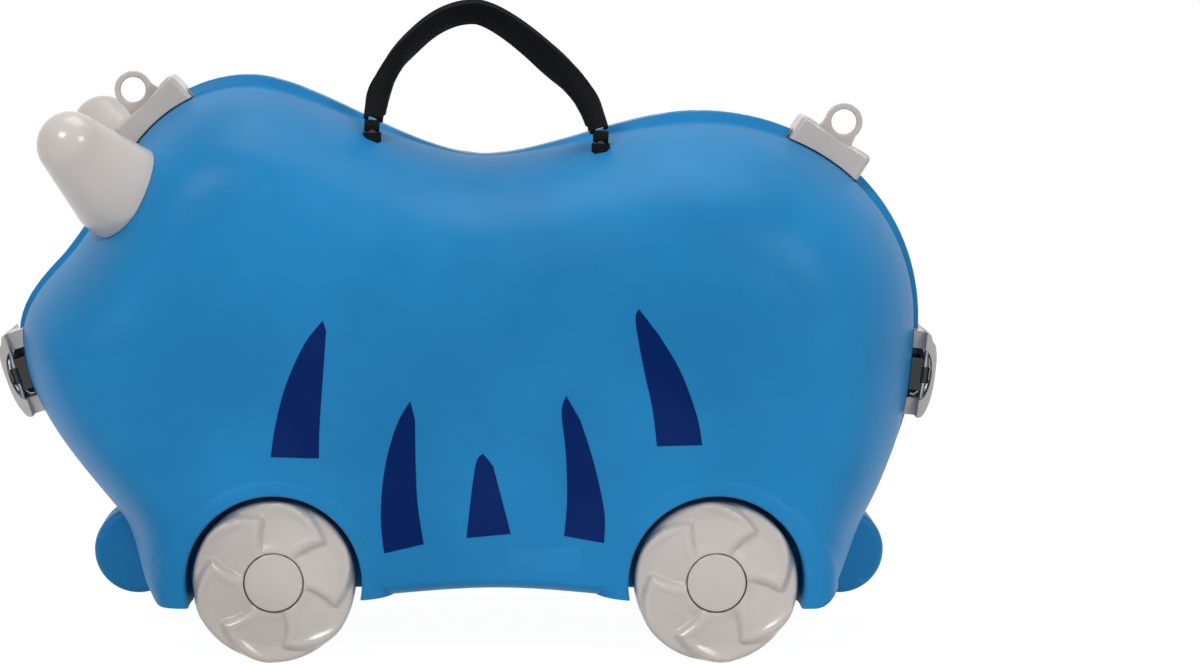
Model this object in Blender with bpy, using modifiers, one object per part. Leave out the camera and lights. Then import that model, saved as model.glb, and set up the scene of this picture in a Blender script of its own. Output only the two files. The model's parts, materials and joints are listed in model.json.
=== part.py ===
"""Ride-on suitcase for a child: two moulded half shells on a hinge, four wheels, horns and latches.

The case stands on its wheels. +X runs from the nose to the tail, the seam is the plane Y = 0, the
near half lies at -Y and the far half at +Y, and +Z is up from the floor. Metres throughout.
"""

import math
from collections import namedtuple

import bmesh
import bpy
from mathutils import Matrix, Vector
from mathutils.geometry import interpolate_bezier

# Outline of the shells at the seam, as heights and lengths
NOSE_X = -0.225
TAIL_X = 0.226
NOSE_Z = 0.151
TAIL_Z = 0.157
HEAD_X = -0.109
HEAD_TOP = 0.2795
SADDLE_X = 0.008
SADDLE_TOP = 0.240
RUMP_X = 0.115
RUMP_TOP = 0.2615
WAIST_Z = 0.061
WAIST_FRONT_X = -0.1735
WAIST_REAR_X = 0.199
FOOT_Z = 0.0255
FOOT_FRONT_X = -0.147
FOOT_REAR_X = 0.168
BELLY_X = 0.014
BELLY_Z = 0.0340

# Depth of one half and its wall
SIDE_Y = 0.095
WALL = 0.003
SEAM_GAP = 0.00015
FIT = 0.0003
SEAL_THICK = 0.0012
SEAL_WIDTH = 0.0020
FLANGE_DEPTH = 0.006
OUTLINE_SPACING = 0.018
ROLL_STEPS = 5
ROLL_POWER = 1.7

# Wheels and their wells
WHEEL_R = 0.0395
WHEEL_FRONT_X = -0.0935
WHEEL_REAR_X = 0.1195
WHEEL_WIDTH = 0.028
WHEEL_FACE_Y = 0.093
WELL_GAP = 0.003
WELL_FLOOR_GAP = 0.009
FLARE_WIDTH = 0.0045
FLARE_PROUD = 0.0018
FLARE_SPREAD = 0.012
FLARE_DEPTH = 0.040
SKIRT_INSET = 0.0010
BLADES = 6
BLADE_RELIEF = 0.0032
HUB_R = 0.0143
AXLE_R = 0.004
RUNNING_GAP = 0.00035
AXLE_HEAD_R = 0.0075
AXLE_HEAD_THICK = 0.0025
BOSS_R = 0.008
RETAINER_SIZE = 0.018
RETAINER_THICK = 0.004

# Hinge lobes, leaves and pins
HINGE_Z = 0.0235
LOBE_R = 0.022
LOBE_DEPTH = 0.016
LOBE_FRONT_X = -0.166
LOBE_REAR_X = 0.187
LOBE_Z = 0.0412
LOBE_ROUND = 0.003
NOTCH_ANGLE = math.radians(52)
KNUCKLE_R = 0.0038
KNUCKLE_LENGTH = 0.0052
HINGE_PIN_R = 0.0015
LEAF_THICK = 0.0023

# Horns
HORN_BASE = (-0.1685, 0.050, 0.2235)
HORN_TIP = (-0.190, 0.075, 0.249)
HORN_BASE_R = 0.0240
HORN_TIP_R = 0.0162
HORN_BORE_R = 0.006
HORN_BORE_DEPTH = 0.016
HORN_FLANGE_R = 0.013
HORN_FLANGE_THICK = 0.010

# Tow clips and rings
CLIP_FRONT_X = -0.1565
CLIP_REAR_X = 0.1795
CLIP_LENGTH = 0.040
CLIP_HALF_WIDTH = 0.015
CLIP_RISE = 0.0080
CLIP_END_GAP = 0.0008
CLIP_ROUND = 0.0022
RING_HOLE_R = 0.0062
RING_R = 0.0093
RING_THICK = 0.0031
RING_CENTRE = 0.0155
RING_BASE = 0.0246
RING_PIVOT = 0.0020
TRUNNION_R = 0.0014
TRUNNION_LENGTH = 0.0028
RING_FOLD = math.radians(55)
CLIP_BLOCK = (0.030, 0.013, 0.020)

# Latches and locks
LATCH_Z = 0.1315
LATCH_HALF_HEIGHT = 0.0215
LATCH_PROUD = 0.0088
LATCH_HALF_WIDTH = 0.0255
LATCH_LIFT = 0.0012
LATCH_ROUND = 0.0012
LATCH_PIN_R = 0.0012
LATCH_PIN_Y = 0.0215
LATCH_KNUCKLE_WALL = 0.0011
LATCH_PIN_LIFT = 0.0029
ARCH_HALF_HEIGHT = 0.0125
ARCH_PROUD = 0.0058
WINDOW_HALF_HEIGHT = 0.0088
BARREL_R = 0.0072
BARREL_Y = 0.0100
BARREL_PROUD = 0.0068
BARREL_SPIGOT_R = 0.0030
BASE_PROUD = 0.0017
BASE_HALF_HEIGHT = 0.0080
BASE_PAST_PIN = 0.0012
KEY_SLOT = (0.0068, 0.0016, 0.0022)
KEEPER_DEPTH = 0.008
KEEPER_HALF_HEIGHT = 0.0055
KEEPER_PROUD = 0.0038

# Webbing handles
HANDLE_FRONT_X = -0.047
HANDLE_REAR_X = 0.065
HANDLE_Y = 0.036
HANDLE_TOP_Z = 0.3150
HANDLE_TOP_Y = 0.014
WEBBING_WIDTH = 0.020
WEBBING_THICK = 0.0022
WEBBING_END = 0.0065
WEBBING_TWIST_FRONT = math.radians(24)
WEBBING_TWIST_REAR = math.radians(42)
BARREL_END_R = 0.0032
BARREL_END_LENGTH = 0.0072
HANDLE_LIFT = 0.0055
HANDLE_STEPS = 22
ANCHOR_SIZE = 0.012
ANCHOR_THICK = 0.0025
STUB_R = 0.0030

# Straps, buckle and pocket inside the far half
STRAP_Y = 0.014
STRAP_WIDTH = 0.020
STRAP_THICK = 0.0014
BUCKLE_X = 0.004
BUCKLE_Z = 0.150
BUCKLE_SOCKET = (0.030, 0.010, 0.026)
BUCKLE_PLUG = (0.022, 0.008, 0.022)
STRAP_ANCHOR = (0.018, 0.013, 0.026)
STRAP_CORNERS = {"front": (-0.150, 0.078), "rear": (0.168, 0.078)}
CLIP_BLOCK_DROP = 0.008
BLOCK_Y = 0.004
POCKET_FRONT_X = -0.128
POCKET_REAR_X = 0.148
POCKET_TOP_Z = 0.096
POCKET_Y = 0.0185
POCKET_THICK = 0.005
ZIP_WIDTH = 0.0030
ZIP_TRAVEL_END = 0.008
SLIDER = (0.009, 0.0085, 0.0055)

SIDES = {"near": -1, "far": 1}
Knot = namedtuple("Knot", "x z heading back ahead roll depth step")
Sample = namedtuple("Sample", "point inward heading roll depth step")


def start_scene():
    """An empty scene with one collection for the parts and one for the cutters."""
    for old in list(bpy.data.objects):
        bpy.data.objects.remove(old, do_unlink=True)
    groups = {}
    for name in ("kids_suitcase", "cutters"):
        groups[name] = bpy.data.collections.new(name)
        bpy.context.scene.collection.children.link(groups[name])
    return groups


def finish(name, colour, roughness, metallic=0.0):
    """A plain Principled material."""
    material = bpy.data.materials.new(name)
    material.use_nodes = True
    shader = material.node_tree.nodes["Principled BSDF"]
    shader.inputs["Base Color"].default_value = (*colour, 1.0)
    shader.inputs["Roughness"].default_value = roughness
    shader.inputs["Metallic"].default_value = metallic
    return material


GROUPS = start_scene()
BLUE = finish("sky_blue_plastic", (0.035, 0.30, 0.62), 0.45)
WHITE = finish("off_white_plastic", (0.78, 0.75, 0.71), 0.25)
SEAL = finish("pale_seal", (0.80, 0.78, 0.74), 0.5)
WEBBING = finish("black_webbing", (0.012, 0.012, 0.013), 0.9)
NYLON = finish("black_nylon", (0.02, 0.02, 0.022), 0.5)
MESH_CLOTH = finish("mesh_cloth", (0.012, 0.016, 0.04), 0.9)
CHROME = finish("chrome", (0.62, 0.62, 0.64), 0.12, 1.0)
STEEL = finish("steel", (0.5, 0.5, 0.5), 0.35, 1.0)
LID = bpy.data.objects.new("lid_axis", None)
LID.location = (0.0, 0.0, HINGE_Z)
GROUPS["kids_suitcase"].objects.link(LID)


def place(name, mesh, material=None, matrix=None, lid=False):
    """A named part, or a cutter when it has no material, with its mesh in its own frame."""
    item = bpy.data.objects.new(name, mesh)
    item.matrix_world = matrix or Matrix.Identity(4)
    if material:
        mesh.materials.append(material)
        GROUPS["kids_suitcase"].objects.link(item)
        if lid:
            item.parent = LID
            item.matrix_parent_inverse = Matrix.Translation(LID.location).inverted()
    else:
        GROUPS["cutters"].objects.link(item)
        item.display_type = "WIRE"
        item.hide_render = True
    return item


def to_mesh(bm, name):
    """The bmesh as mesh data, with its faces pointing out and its round parts smooth."""
    bmesh.ops.recalc_face_normals(bm, faces=bm.faces)
    mesh = bpy.data.meshes.new(name)
    bm.to_mesh(mesh)
    bm.free()
    mesh.shade_smooth()
    mesh.set_sharp_from_angle(angle=math.radians(35))
    return mesh


def boolean(item, operation, other):
    """Cuts or joins with another object, which stays where it is."""
    step = item.modifiers.new(f"{operation.lower()}_{other.name}", "BOOLEAN")
    step.operation = operation
    step.object = other
    return step


def weld(item):
    """Joins the points that cuts along nearly the same line leave side by side."""
    step = item.modifiers.new("weld", "WELD")
    step.merge_threshold = 0.00002


def soften(item, width, segments=2, angle=40):
    """Rounds the edges that are sharper than the angle."""
    bevel = item.modifiers.new("rounded_edges", "BEVEL")
    bevel.width = width
    bevel.segments = segments
    bevel.limit_method = "ANGLE"
    bevel.angle_limit = math.radians(angle)
    bevel.use_clamp_overlap = True


def loft(name, rings, loop=False):
    """A closed mesh through rings of as many points; a loop joins the last ring to the first."""
    bm = bmesh.new()
    rows = [[bm.verts.new(point) for point in ring] for ring in rings]
    pairs = list(zip(rows, rows[1:]))
    if loop:
        pairs.append((rows[-1], rows[0]))
    else:
        bm.faces.new(rows[0])
        bm.faces.new(rows[-1])
    for low, high in pairs:
        for i in range(len(low)):
            j = (i + 1) % len(low)
            bm.faces.new((low[i], low[j], high[j], high[i]))
    bmesh.ops.triangulate(bm, faces=[face for face in bm.faces if len(face.verts) > 4])
    return to_mesh(bm, name)


def box_mesh(name, low, high):
    """A box between two corners."""
    bm = bmesh.new()
    bmesh.ops.create_cube(bm, size=1.0)
    low, high = Vector(low), Vector(high)
    size = high - low
    bmesh.ops.scale(bm, vec=size, verts=bm.verts)
    bmesh.ops.translate(bm, vec=(low + high) / 2, verts=bm.verts)
    return to_mesh(bm, name)


def rod_mesh(name, radius, start, end, segments=14):
    """A round rod between two points."""
    start, end = Vector(start), Vector(end)
    bm = bmesh.new()
    bmesh.ops.create_cone(bm, cap_ends=True, segments=segments, radius1=radius, radius2=radius,
                          depth=(end - start).length)
    turn = Vector((0, 0, 1)).rotation_difference(end - start).to_matrix().to_4x4()
    bmesh.ops.transform(bm, matrix=Matrix.Translation((start + end) / 2) @ turn, verts=bm.verts)
    return to_mesh(bm, name)


def merged(name, meshes):
    """Several separate bodies in one mesh, for one cutter with many tools."""
    bm = bmesh.new()
    for mesh in meshes:
        bm.from_mesh(mesh)
    return to_mesh(bm, name)


def turned(name, profile, material, matrix, segments=32, lid=False):
    """A turned piece: (radius, height) pairs from top to bottom, round the local Z axis."""
    mesh = bpy.data.meshes.new(name)
    points = [(radius, 0.0, height) for radius, height in profile]
    edges = [(i, i + 1) for i in range(len(points) - 1)]
    if profile[0][0] > 0:
        edges.append((len(points) - 1, 0))
    mesh.from_pydata(points, edges, [])
    item = place(name, mesh, material, matrix, lid)
    screw = item.modifiers.new("turned", "SCREW")
    screw.axis = "Z"
    screw.steps = segments
    screw.render_steps = segments
    screw.use_merge_vertices = True
    screw.merge_threshold = 0.00002
    return item


def prism_mesh(name, outline, low, high, axis="Y"):
    """A flat outline drawn out between two distances along Y or X."""
    bm = bmesh.new()
    if axis == "Y":
        points = [(a, low, b) for a, b in outline]
        way = (0.0, high - low, 0.0)
    else:
        points = [(low, a, b) for a, b in outline]
        way = (high - low, 0.0, 0.0)
    face = bm.faces.new([bm.verts.new(point) for point in points])
    drawn = bmesh.ops.extrude_face_region(bm, geom=[face])
    moved = [item for item in drawn["geom"] if isinstance(item, bmesh.types.BMVert)]
    bmesh.ops.translate(bm, vec=way, verts=moved)
    bmesh.ops.triangulate(bm, faces=[face for face in bm.faces if len(face.verts) > 4])
    return to_mesh(bm, name)


def outwards(x, z, side):
    """A frame at (x, z) on the seam whose Z axis points out of one half."""
    return Matrix.Translation((x, 0.0, z)) @ Matrix.Rotation(-side * math.pi / 2, 4, "X")


# Outline


def knots():
    """The outline clockwise seen from the near side, from the crest of the head.

    Each knot has its heading, its reaches back and ahead, the width and the depth of the roll from
    the rim to the flat side, and the height of the rim flange over the body.
    """
    return [
        Knot(HEAD_X, HEAD_TOP, 0, 0.034, 0.032, 0.043, 0.087, 0.0050),
        Knot(SADDLE_X, SADDLE_TOP, 0, 0.036, 0.030, 0.050, 0.084, 0.0006),
        Knot(RUMP_X, RUMP_TOP, 0, 0.036, 0.062, 0.054, 0.087, 0.0050),
        Knot(TAIL_X, TAIL_Z, -90, 0.060, 0.046, 0.058, 0.087, 0.0032),
        Knot(WAIST_REAR_X, WAIST_Z, -119, 0.026, 0.014, 0.034, 0.075, 0.0020),
        Knot(FOOT_REAR_X, FOOT_Z, 180, 0.012, 0.085, 0.0070, 0.013, 0.0012),
        Knot(BELLY_X, BELLY_Z, 180, 0.040, 0.040, 0.0070, 0.013, 0.0012),
        Knot(FOOT_FRONT_X, FOOT_Z, 180, 0.085, 0.012, 0.0070, 0.013, 0.0012),
        Knot(WAIST_FRONT_X, WAIST_Z, 129, 0.012, 0.036, 0.032, 0.075, 0.0020),
        Knot(NOSE_X, NOSE_Z, 90, 0.036, 0.017, 0.038, 0.087, 0.0030),
        Knot(NOSE_X + 0.022, NOSE_Z + 0.0385, 47, 0.010, 0.012, 0.046, 0.087, 0.0030),
        Knot(NOSE_X + 0.048, HEAD_TOP - 0.0485, 69, 0.012, 0.026, 0.040, 0.087, 0.0040),
    ]


def ease(start, end, share):
    """A smooth passage from one value to the next."""
    return start + (end - start) * share * share * (3 - 2 * share)


def outline():
    """Samples of the outline at about even spacing, each with its values for the shell."""
    ring = knots()
    samples = []
    for knot, following in zip(ring, ring[1:] + ring[:1]):
        way = Vector((math.cos(math.radians(knot.heading)), math.sin(math.radians(knot.heading))))
        arrival = Vector((math.cos(math.radians(following.heading)),
                          math.sin(math.radians(following.heading))))
        start, end = Vector((knot.x, knot.z)), Vector((following.x, following.z))
        count = max(3, round((end - start).length / OUTLINE_SPACING))
        points = interpolate_bezier(start, start + way * knot.ahead, end - arrival * following.back,
                                    end, count + 1)
        for i in range(count):
            share = i / count
            samples.append([points[i],
                            ease(knot.roll, following.roll, share),
                            ease(knot.depth, following.depth, share),
                            ease(knot.step, following.step, share)])
    done = []
    for i, (point, roll, depth, step) in enumerate(samples):
        along = (samples[(i + 1) % len(samples)][0] - samples[i - 1][0]).normalized()
        inward = Vector((along.y, -along.x))
        heading = math.atan2(along.y, along.x)
        done.append(Sample(point, inward, heading, roll, depth, step))
    return done


OUTLINE = outline()


def outline_at(value, axis, ahead):
    """Where the outline crosses an x or a z, on the stretch whose heading passes the test."""
    for i, sample in enumerate(OUTLINE):
        following = OUTLINE[(i + 1) % len(OUTLINE)]
        low, high = sample.point[axis], following.point[axis]
        if (low - value) * (high - value) <= 0 and low != high and ahead(sample):
            share = (value - low) / (high - low)
            turn = (following.heading - sample.heading + math.pi) % (2 * math.pi) - math.pi
            point = sample.point.lerp(following.point, share)
            return point, sample.heading + turn * share
    raise ValueError("the outline has no such place")


def seat(value, axis, ahead):
    """A frame on the seam outline: X along the outline, Y across the seam, Z pointing out."""
    point, heading = outline_at(value, axis, ahead)
    return Matrix.Translation((point.x, 0.0, point.y)) @ Matrix.Rotation(-heading, 4, "Y")


def rolled(sample, share, inner, grow):
    """The inset and the depth of one point of the roll from the rim to the flat side."""
    turn = share * math.pi / 2
    wall = WALL if inner else 0.0
    across = max(0.0, math.cos(turn)) ** (2 / ROLL_POWER)
    along = math.sin(turn) ** (2 / ROLL_POWER)
    inset = sample.step + sample.roll - (sample.roll - wall) * across - grow
    depth = SIDE_Y - sample.depth + (sample.depth - wall + grow) * along
    return inset, depth


def ring_at(side, inset_depth):
    """One ring of points: each sample moved inwards and off the seam."""
    ring = []
    for sample in OUTLINE:
        inset, depth = inset_depth(sample)
        point = sample.point + sample.inward * inset
        ring.append(Vector((point.x, side * depth, point.y)))
    return ring


def body_mesh(name, side, grow=0.0, flange=True, inner=False):
    """The half body as a closed solid: its outside, or with inner set the room inside its wall."""
    rings = []
    rim_y = SEAM_GAP + SEAL_THICK + FIT
    if inner:
        rings.append(ring_at(side, lambda sample: (sample.step + WALL - grow, -WALL)))
    elif flange:
        rings.append(ring_at(side, lambda sample: (-grow, rim_y)))
        rings.append(ring_at(side, lambda sample: (-grow, FLANGE_DEPTH)))
        rings.append(ring_at(side, lambda sample: (sample.step - grow, FLANGE_DEPTH + 0.0012)))
    else:
        rings.append(ring_at(side, lambda sample: (sample.step - grow, -WALL)))
    for i in range(ROLL_STEPS + 1):
        share = i / ROLL_STEPS
        rings.append(ring_at(side, lambda sample: rolled(sample, share, inner, grow)))
    return loft(name, rings)


def band_mesh(name, side, outer, inner, low, high):
    """A strip along the rim, between two insets and two distances from the seam."""
    corners = [(outer, low), (outer, high), (inner, high), (inner, low)]
    rings = []
    for inset, depth in corners:
        rings.append(ring_at(side, lambda sample: (inset(sample), depth)))
    return loft(name, rings, loop=True)


def skin_point(value, ahead, depth):
    """The point of the skin where the outline passes an x, at a distance from the seam."""
    point, heading = outline_at(value, 0, ahead)
    near = min(OUTLINE, key=lambda sample: (sample.point - point).length)
    share = max(0.0, (depth - SIDE_Y + near.depth) / near.depth)
    inset = near.step + near.roll * (1 - (1 - share ** ROLL_POWER) ** (1 / ROLL_POWER))
    inward = Vector((math.sin(heading), -math.cos(heading)))
    return point + inward * inset


CLIP_SEATS = {
    "front": seat(CLIP_FRONT_X, 0, lambda sample: sample.point.y > SADDLE_TOP),
    "rear": seat(CLIP_REAR_X, 0, lambda sample: sample.point.y > WAIST_Z * 2),
}
LATCH_SEATS = {
    "front": seat(LATCH_Z, 1, lambda sample: sample.point.x < 0),
    "rear": seat(LATCH_Z, 1, lambda sample: sample.point.x > 0),
}


# Shells


WELL_R = WHEEL_R + WELL_GAP
WHEEL_BACK_Y = WHEEL_FACE_Y - WHEEL_WIDTH
WELL_FLOOR_Y = WHEEL_BACK_Y - WELL_FLOOR_GAP
WHEEL_Z = WHEEL_R
WHEELS = {"front": WHEEL_FRONT_X, "rear": WHEEL_REAR_X}
LOBES = {"front": LOBE_FRONT_X, "rear": LOBE_REAR_X}
WELL_SEGMENTS = 30
OUTSIDE_Y = SIDE_Y + 0.03


def well_cutter(side_name):
    """The two wheel wells of one half, with the round boss that spaces the wheel off the floor."""
    side = SIDES[side_name]
    profile = [(0.0, OUTSIDE_Y), (WELL_R, OUTSIDE_Y), (WELL_R, WELL_FLOOR_Y),
               (BOSS_R, WELL_FLOOR_Y), (BOSS_R, WHEEL_BACK_Y - FIT), (0.0, WHEEL_BACK_Y - FIT)]
    return [turned(f"well_{end}_{side_name}", profile, None, outwards(x, WHEEL_Z, side),
                   WELL_SEGMENTS) for end, x in WHEELS.items()]


def room_cutter(side_name):
    """The room inside one half: the inner skin less the walls of the wheel wells."""
    side = SIDES[side_name]
    room = place(f"room_{side_name}", body_mesh("room", side, inner=True))
    profile = [(0.0, OUTSIDE_Y), (WELL_R + WALL, OUTSIDE_Y), (WELL_R + WALL, WELL_FLOOR_Y - WALL),
               (0.0, WELL_FLOOR_Y - WALL)]
    for end, x in WHEELS.items():
        liner = turned(f"liner_{end}_{side_name}", profile, None, outwards(x, WHEEL_Z, side),
                       WELL_SEGMENTS)
        boolean(room, "DIFFERENCE", liner)
    return room


def flares(side_name):
    """The raised lips round the wheel arches, ending at the skirt."""
    side = SIDES[side_name]
    lip = WELL_R + FLARE_WIDTH
    top = SIDE_Y + FLARE_PROUD
    profile = [(0.0, top), (lip - 0.0008, top), (lip, top - 0.0008),
               (lip + FLARE_SPREAD, top - FLARE_DEPTH), (0.0, top - FLARE_DEPTH)]
    skirt = outline_prism(f"skirt_{side_name}", lambda sample: (
        sample.step + SKIRT_INSET), OUTSIDE_Y)
    made = []
    for end, x in WHEELS.items():
        flare = turned(f"flare_{end}_{side_name}", profile, None, outwards(x, WHEEL_Z, side),
                       WELL_SEGMENTS)
        boolean(flare, "INTERSECT", skirt)
        made.append(flare)
    return made


def lobes(side_name):
    """The two flat hinge housings, open for the hinge and clear of the seal beside them."""
    side = SIDES[side_name]
    beside_rim = SEAM_GAP + SEAL_THICK + FIT * 3
    groove = place(f"seal_groove_{side_name}", loft("groove", [
        ring_at(side, lambda sample: (-0.0010, -WALL)),
        ring_at(side, lambda sample: (-0.0010, beside_rim))]))
    inside = outline_prism(f"inside_lobes_{side_name}", lambda sample: (
        sample.step + WALL / 2), LOBE_DEPTH + WALL)
    made = []
    for end, x in LOBES.items():
        lobe = place(f"lobe_{end}_{side_name}", rod_mesh(
            "lobe", LOBE_R, (x, side * SEAM_GAP, LOBE_Z), (x, side * LOBE_DEPTH, LOBE_Z), 32))
        soften(lobe, LOBE_ROUND)
        boolean(lobe, "DIFFERENCE", inside)
        boolean(lobe, "DIFFERENCE", groove)
        for cutter in hinge_cutters(end, x, side_name, side):
            boolean(lobe, "DIFFERENCE", cutter)
        made.append(lobe)
    return made


def knuckle_spans(end):
    """The three knuckles of a hinge along X: the near leaf has the middle one."""
    pitch = KNUCKLE_LENGTH + FIT * 1.2
    middle = LOBES[end]
    half = KNUCKLE_LENGTH / 2
    return [("far", middle - pitch - half, middle - pitch + half),
            ("near", middle - half, middle + half),
            ("far", middle + pitch - half, middle + pitch + half)]


def hinge_cutters(end, x, side_name, side):
    """Room for knuckles and leaf in a lobe, and the notch that lets the halves open."""
    reach = 0.014
    fall = reach * math.cos(NOTCH_ANGLE)
    spread = reach * math.sin(NOTCH_ANGLE)
    spans = knuckle_spans(end)
    peak = HINGE_Z + 0.0006
    return [
        place(f"notch_{end}_{side_name}", prism_mesh(
            "notch", [(0.0, peak), (spread, peak - fall), (-spread, peak - fall)],
            x - LOBE_R - WALL, x + LOBE_R + WALL, axis="X")),
        place(f"knuckle_room_{end}_{side_name}", rod_mesh(
            "room", KNUCKLE_R + 0.0006, (spans[0][1] - FIT, 0, HINGE_Z),
            (spans[-1][2] + FIT, 0, HINGE_Z))),
        leaf_disc(f"leaf_room_{end}_{side_name}", end, side, FIT),
    ]


def outline_prism(name, inset, reach):
    """The outline of the case, moved inwards by a function of the sample, as a prism along Y."""
    return place(name, loft("prism", [ring_at(-1, lambda sample: (inset(sample), reach)),
                                      ring_at(1, lambda sample: (inset(sample), reach))]))


def leaf_disc(name, end, side, grow, material=None, lid=False):
    """The crescent of a hinge leaf: a round plate in the lobe, outside the rim of the case."""
    radius = LOBE_R - 0.0045 + grow
    low = 0.0 if grow else SEAM_GAP * 2
    disc = place(name, rod_mesh(name, radius, (LOBES[end], side * low, LOBE_Z),
                                (LOBES[end], side * (SEAM_GAP * 2 + LEAF_THICK + grow), LOBE_Z), 22),
                 material, lid=lid)
    boolean(disc, "DIFFERENCE", outline_prism(f"outline_for_{name}", lambda sample: (
        grow * 2 - 0.0012), LOBE_DEPTH))
    return disc


def clip_notch(end):
    """The gap in both rims through which a tow clip passes, down to the curve of the body."""
    half = CLIP_LENGTH / 2 + CLIP_END_GAP
    notch = place(f"clip_notch_{end}", box_mesh(
        "notch", (-half, -FLANGE_DEPTH - 0.0025, -CLIP_BLOCK_DROP),
        (half, FLANGE_DEPTH + 0.0025, CLIP_RISE)), matrix=CLIP_SEATS[end])
    boolean(notch, "DIFFERENCE", outline_prism(f"below_notch_{end}", lambda sample: (
        sample.step + 0.0004), CLIP_HALF_WIDTH))
    return notch


NOTCHES = {end: clip_notch(end) for end in CLIP_SEATS}


def horn_frame(side):
    """A frame at the middle of the horn's root whose Z axis runs to the tip."""
    start = Vector((HORN_BASE[0], side * HORN_BASE[1], HORN_BASE[2]))
    end = Vector((HORN_TIP[0], side * HORN_TIP[1], HORN_TIP[2]))
    turn = Vector((0, 0, 1)).rotation_difference(end - start).to_matrix().to_4x4()
    return Matrix.Translation(start) @ turn, (end - start).length


def handle_pivots(side):
    """The two ends of the handle's pivot line, just over the skin."""
    ends = []
    for x, ahead in ((HANDLE_FRONT_X, lambda sample: sample.point.x < SADDLE_X
                      and sample.point.y > SADDLE_TOP),
                     (HANDLE_REAR_X, lambda sample: sample.point.x > SADDLE_X
                      and sample.point.y > SADDLE_TOP)):
        skin = skin_point(x, ahead, HANDLE_Y)
        skin = skin_point(2 * x - skin.x, ahead, HANDLE_Y)
        ends.append(Vector((x, side * HANDLE_Y, skin.y + HANDLE_LIFT)))
    return ends


def build_shells():
    """The near half shell with its wells, flares, lobes and holes, and its mirror image."""
    side_name = "near"
    side = SIDES[side_name]
    shell = place("shell_near", body_mesh("shell_near", side), BLUE)
    for flare in flares(side_name):
        boolean(shell, "UNION", flare)
    boolean(shell, "DIFFERENCE", room_cutter(side_name))
    weld(shell)
    for cutter in well_cutter(side_name) + list(NOTCHES.values()):
        boolean(shell, "DIFFERENCE", cutter)
        weld(shell)
    frame, _ = horn_frame(side)
    holes = [rod_mesh("hole", HORN_BORE_R + FIT, frame @ Vector((0, 0, -0.02)),
                      frame @ Vector((0, 0, 0.02)))]
    for x in WHEELS.values():
        holes.append(rod_mesh("hole", AXLE_R + FIT, (x, side * (WELL_FLOOR_Y - 0.01), WHEEL_Z),
                              (x, side * (WHEEL_BACK_Y + 0.01), WHEEL_Z)))
    for pivot in handle_pivots(side):
        holes.append(rod_mesh("hole", STUB_R + FIT, pivot, pivot - Vector((0, 0, 0.014))))
    boolean(shell, "DIFFERENCE", place("holes_near", merged("holes", holes)))
    for lobe in lobes(side_name):
        boolean(shell, "UNION", lobe)
    weld(shell)
    bpy.context.view_layer.update()
    mirrored = bpy.data.meshes.new_from_object(shell.evaluated_get(
        bpy.context.evaluated_depsgraph_get()))
    mirrored.transform(Matrix.Scale(-1, 4, (0, 1, 0)))
    mirrored.flip_normals()
    mirrored.materials.clear()
    place("shell_far", mirrored, BLUE, lid=True)


def build_seal(side_name):
    """The pale strip on the rim of one half, open where the tow clips sit."""
    side = SIDES[side_name]
    seal = place(f"rim_seal_{side_name}", band_mesh(
        "seal", side, lambda sample: 0.0, lambda sample: sample.step + SEAL_WIDTH, SEAM_GAP,
        SEAM_GAP + SEAL_THICK), SEAL, lid=side_name == "far")
    for notch in NOTCHES.values():
        boolean(seal, "DIFFERENCE", notch)


def build_horn(side_name):
    """A blunt horn with a bore in its root, and the boss that holds it from inside."""
    side = SIDES[side_name]
    lid = side_name == "far"
    frame, length = horn_frame(side)
    lean = math.asin((HORN_BASE_R - HORN_TIP_R) / length)
    profile = []
    steps = 5
    for i in range(steps + 1):
        angle = math.pi / 2 - (math.pi / 2 - lean) * i / steps
        profile.append((HORN_TIP_R * math.cos(angle), length + HORN_TIP_R * math.sin(angle)))
    for i in range(steps + 2):
        angle = lean - (math.pi / 2 + lean) * i / (steps + 1)
        profile.append((HORN_BASE_R * math.cos(angle), HORN_BASE_R * math.sin(angle)))
    profile[0] = (0.0, profile[0][1])
    profile[-1] = (0.0, profile[-1][1])
    horn = turned(f"horn_{side_name}", profile, WHITE, frame, 20, lid)
    boolean(horn, "DIFFERENCE", place(f"skin_for_horn_{side_name}",
                                      body_mesh("skin", side, grow=FIT)))
    bore = place(f"horn_bore_{side_name}", rod_mesh(
        "bore", HORN_BORE_R + FIT, (0, 0, -0.03), (0, 0, HORN_BORE_DEPTH + FIT)), matrix=frame)
    boolean(horn, "DIFFERENCE", bore)
    boss = place(f"horn_boss_{side_name}", rod_mesh(
        "boss", HORN_FLANGE_R, (0, 0, -HORN_FLANGE_THICK), (0, 0, 0.004), 24), WHITE, frame, lid)
    room = place(f"room_for_boss_{side_name}", body_mesh("room", side, grow=-FIT, inner=True))
    boolean(boss, "INTERSECT", room)
    boolean(boss, "UNION", place(f"boss_shank_{side_name}", rod_mesh(
        "shank", HORN_BORE_R, (0, 0, -HORN_FLANGE_THICK + 0.001), (0, 0, HORN_BORE_DEPTH)),
        matrix=frame))


# Wheels


HUB_FLOOR_Y = WHEEL_FACE_Y - 0.0072
RECESS_R = HUB_R + FIT
CORNER_SHARE = 0.79
BLADE_LEAN = math.radians(15)
BLADE_SWEEP = math.radians(38)
BLADE_COLUMNS = [(0.0, 1.0), (0.3, 0.74), (0.62, 0.40), (0.93, 0.03)]
WHEEL_PHASE = {"front": math.radians(101), "rear": math.radians(115)}


def blade_edge(radius):
    """How far a blade's raised edge has turned at a radius, from its corner."""
    share = radius / WHEEL_R
    if share < CORNER_SHARE:
        return BLADE_LEAN * (CORNER_SHARE - share) / (CORNER_SHARE - RECESS_R / WHEEL_R)
    return BLADE_SWEEP * (share - CORNER_SHARE) / (1 - CORNER_SHARE)


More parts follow.
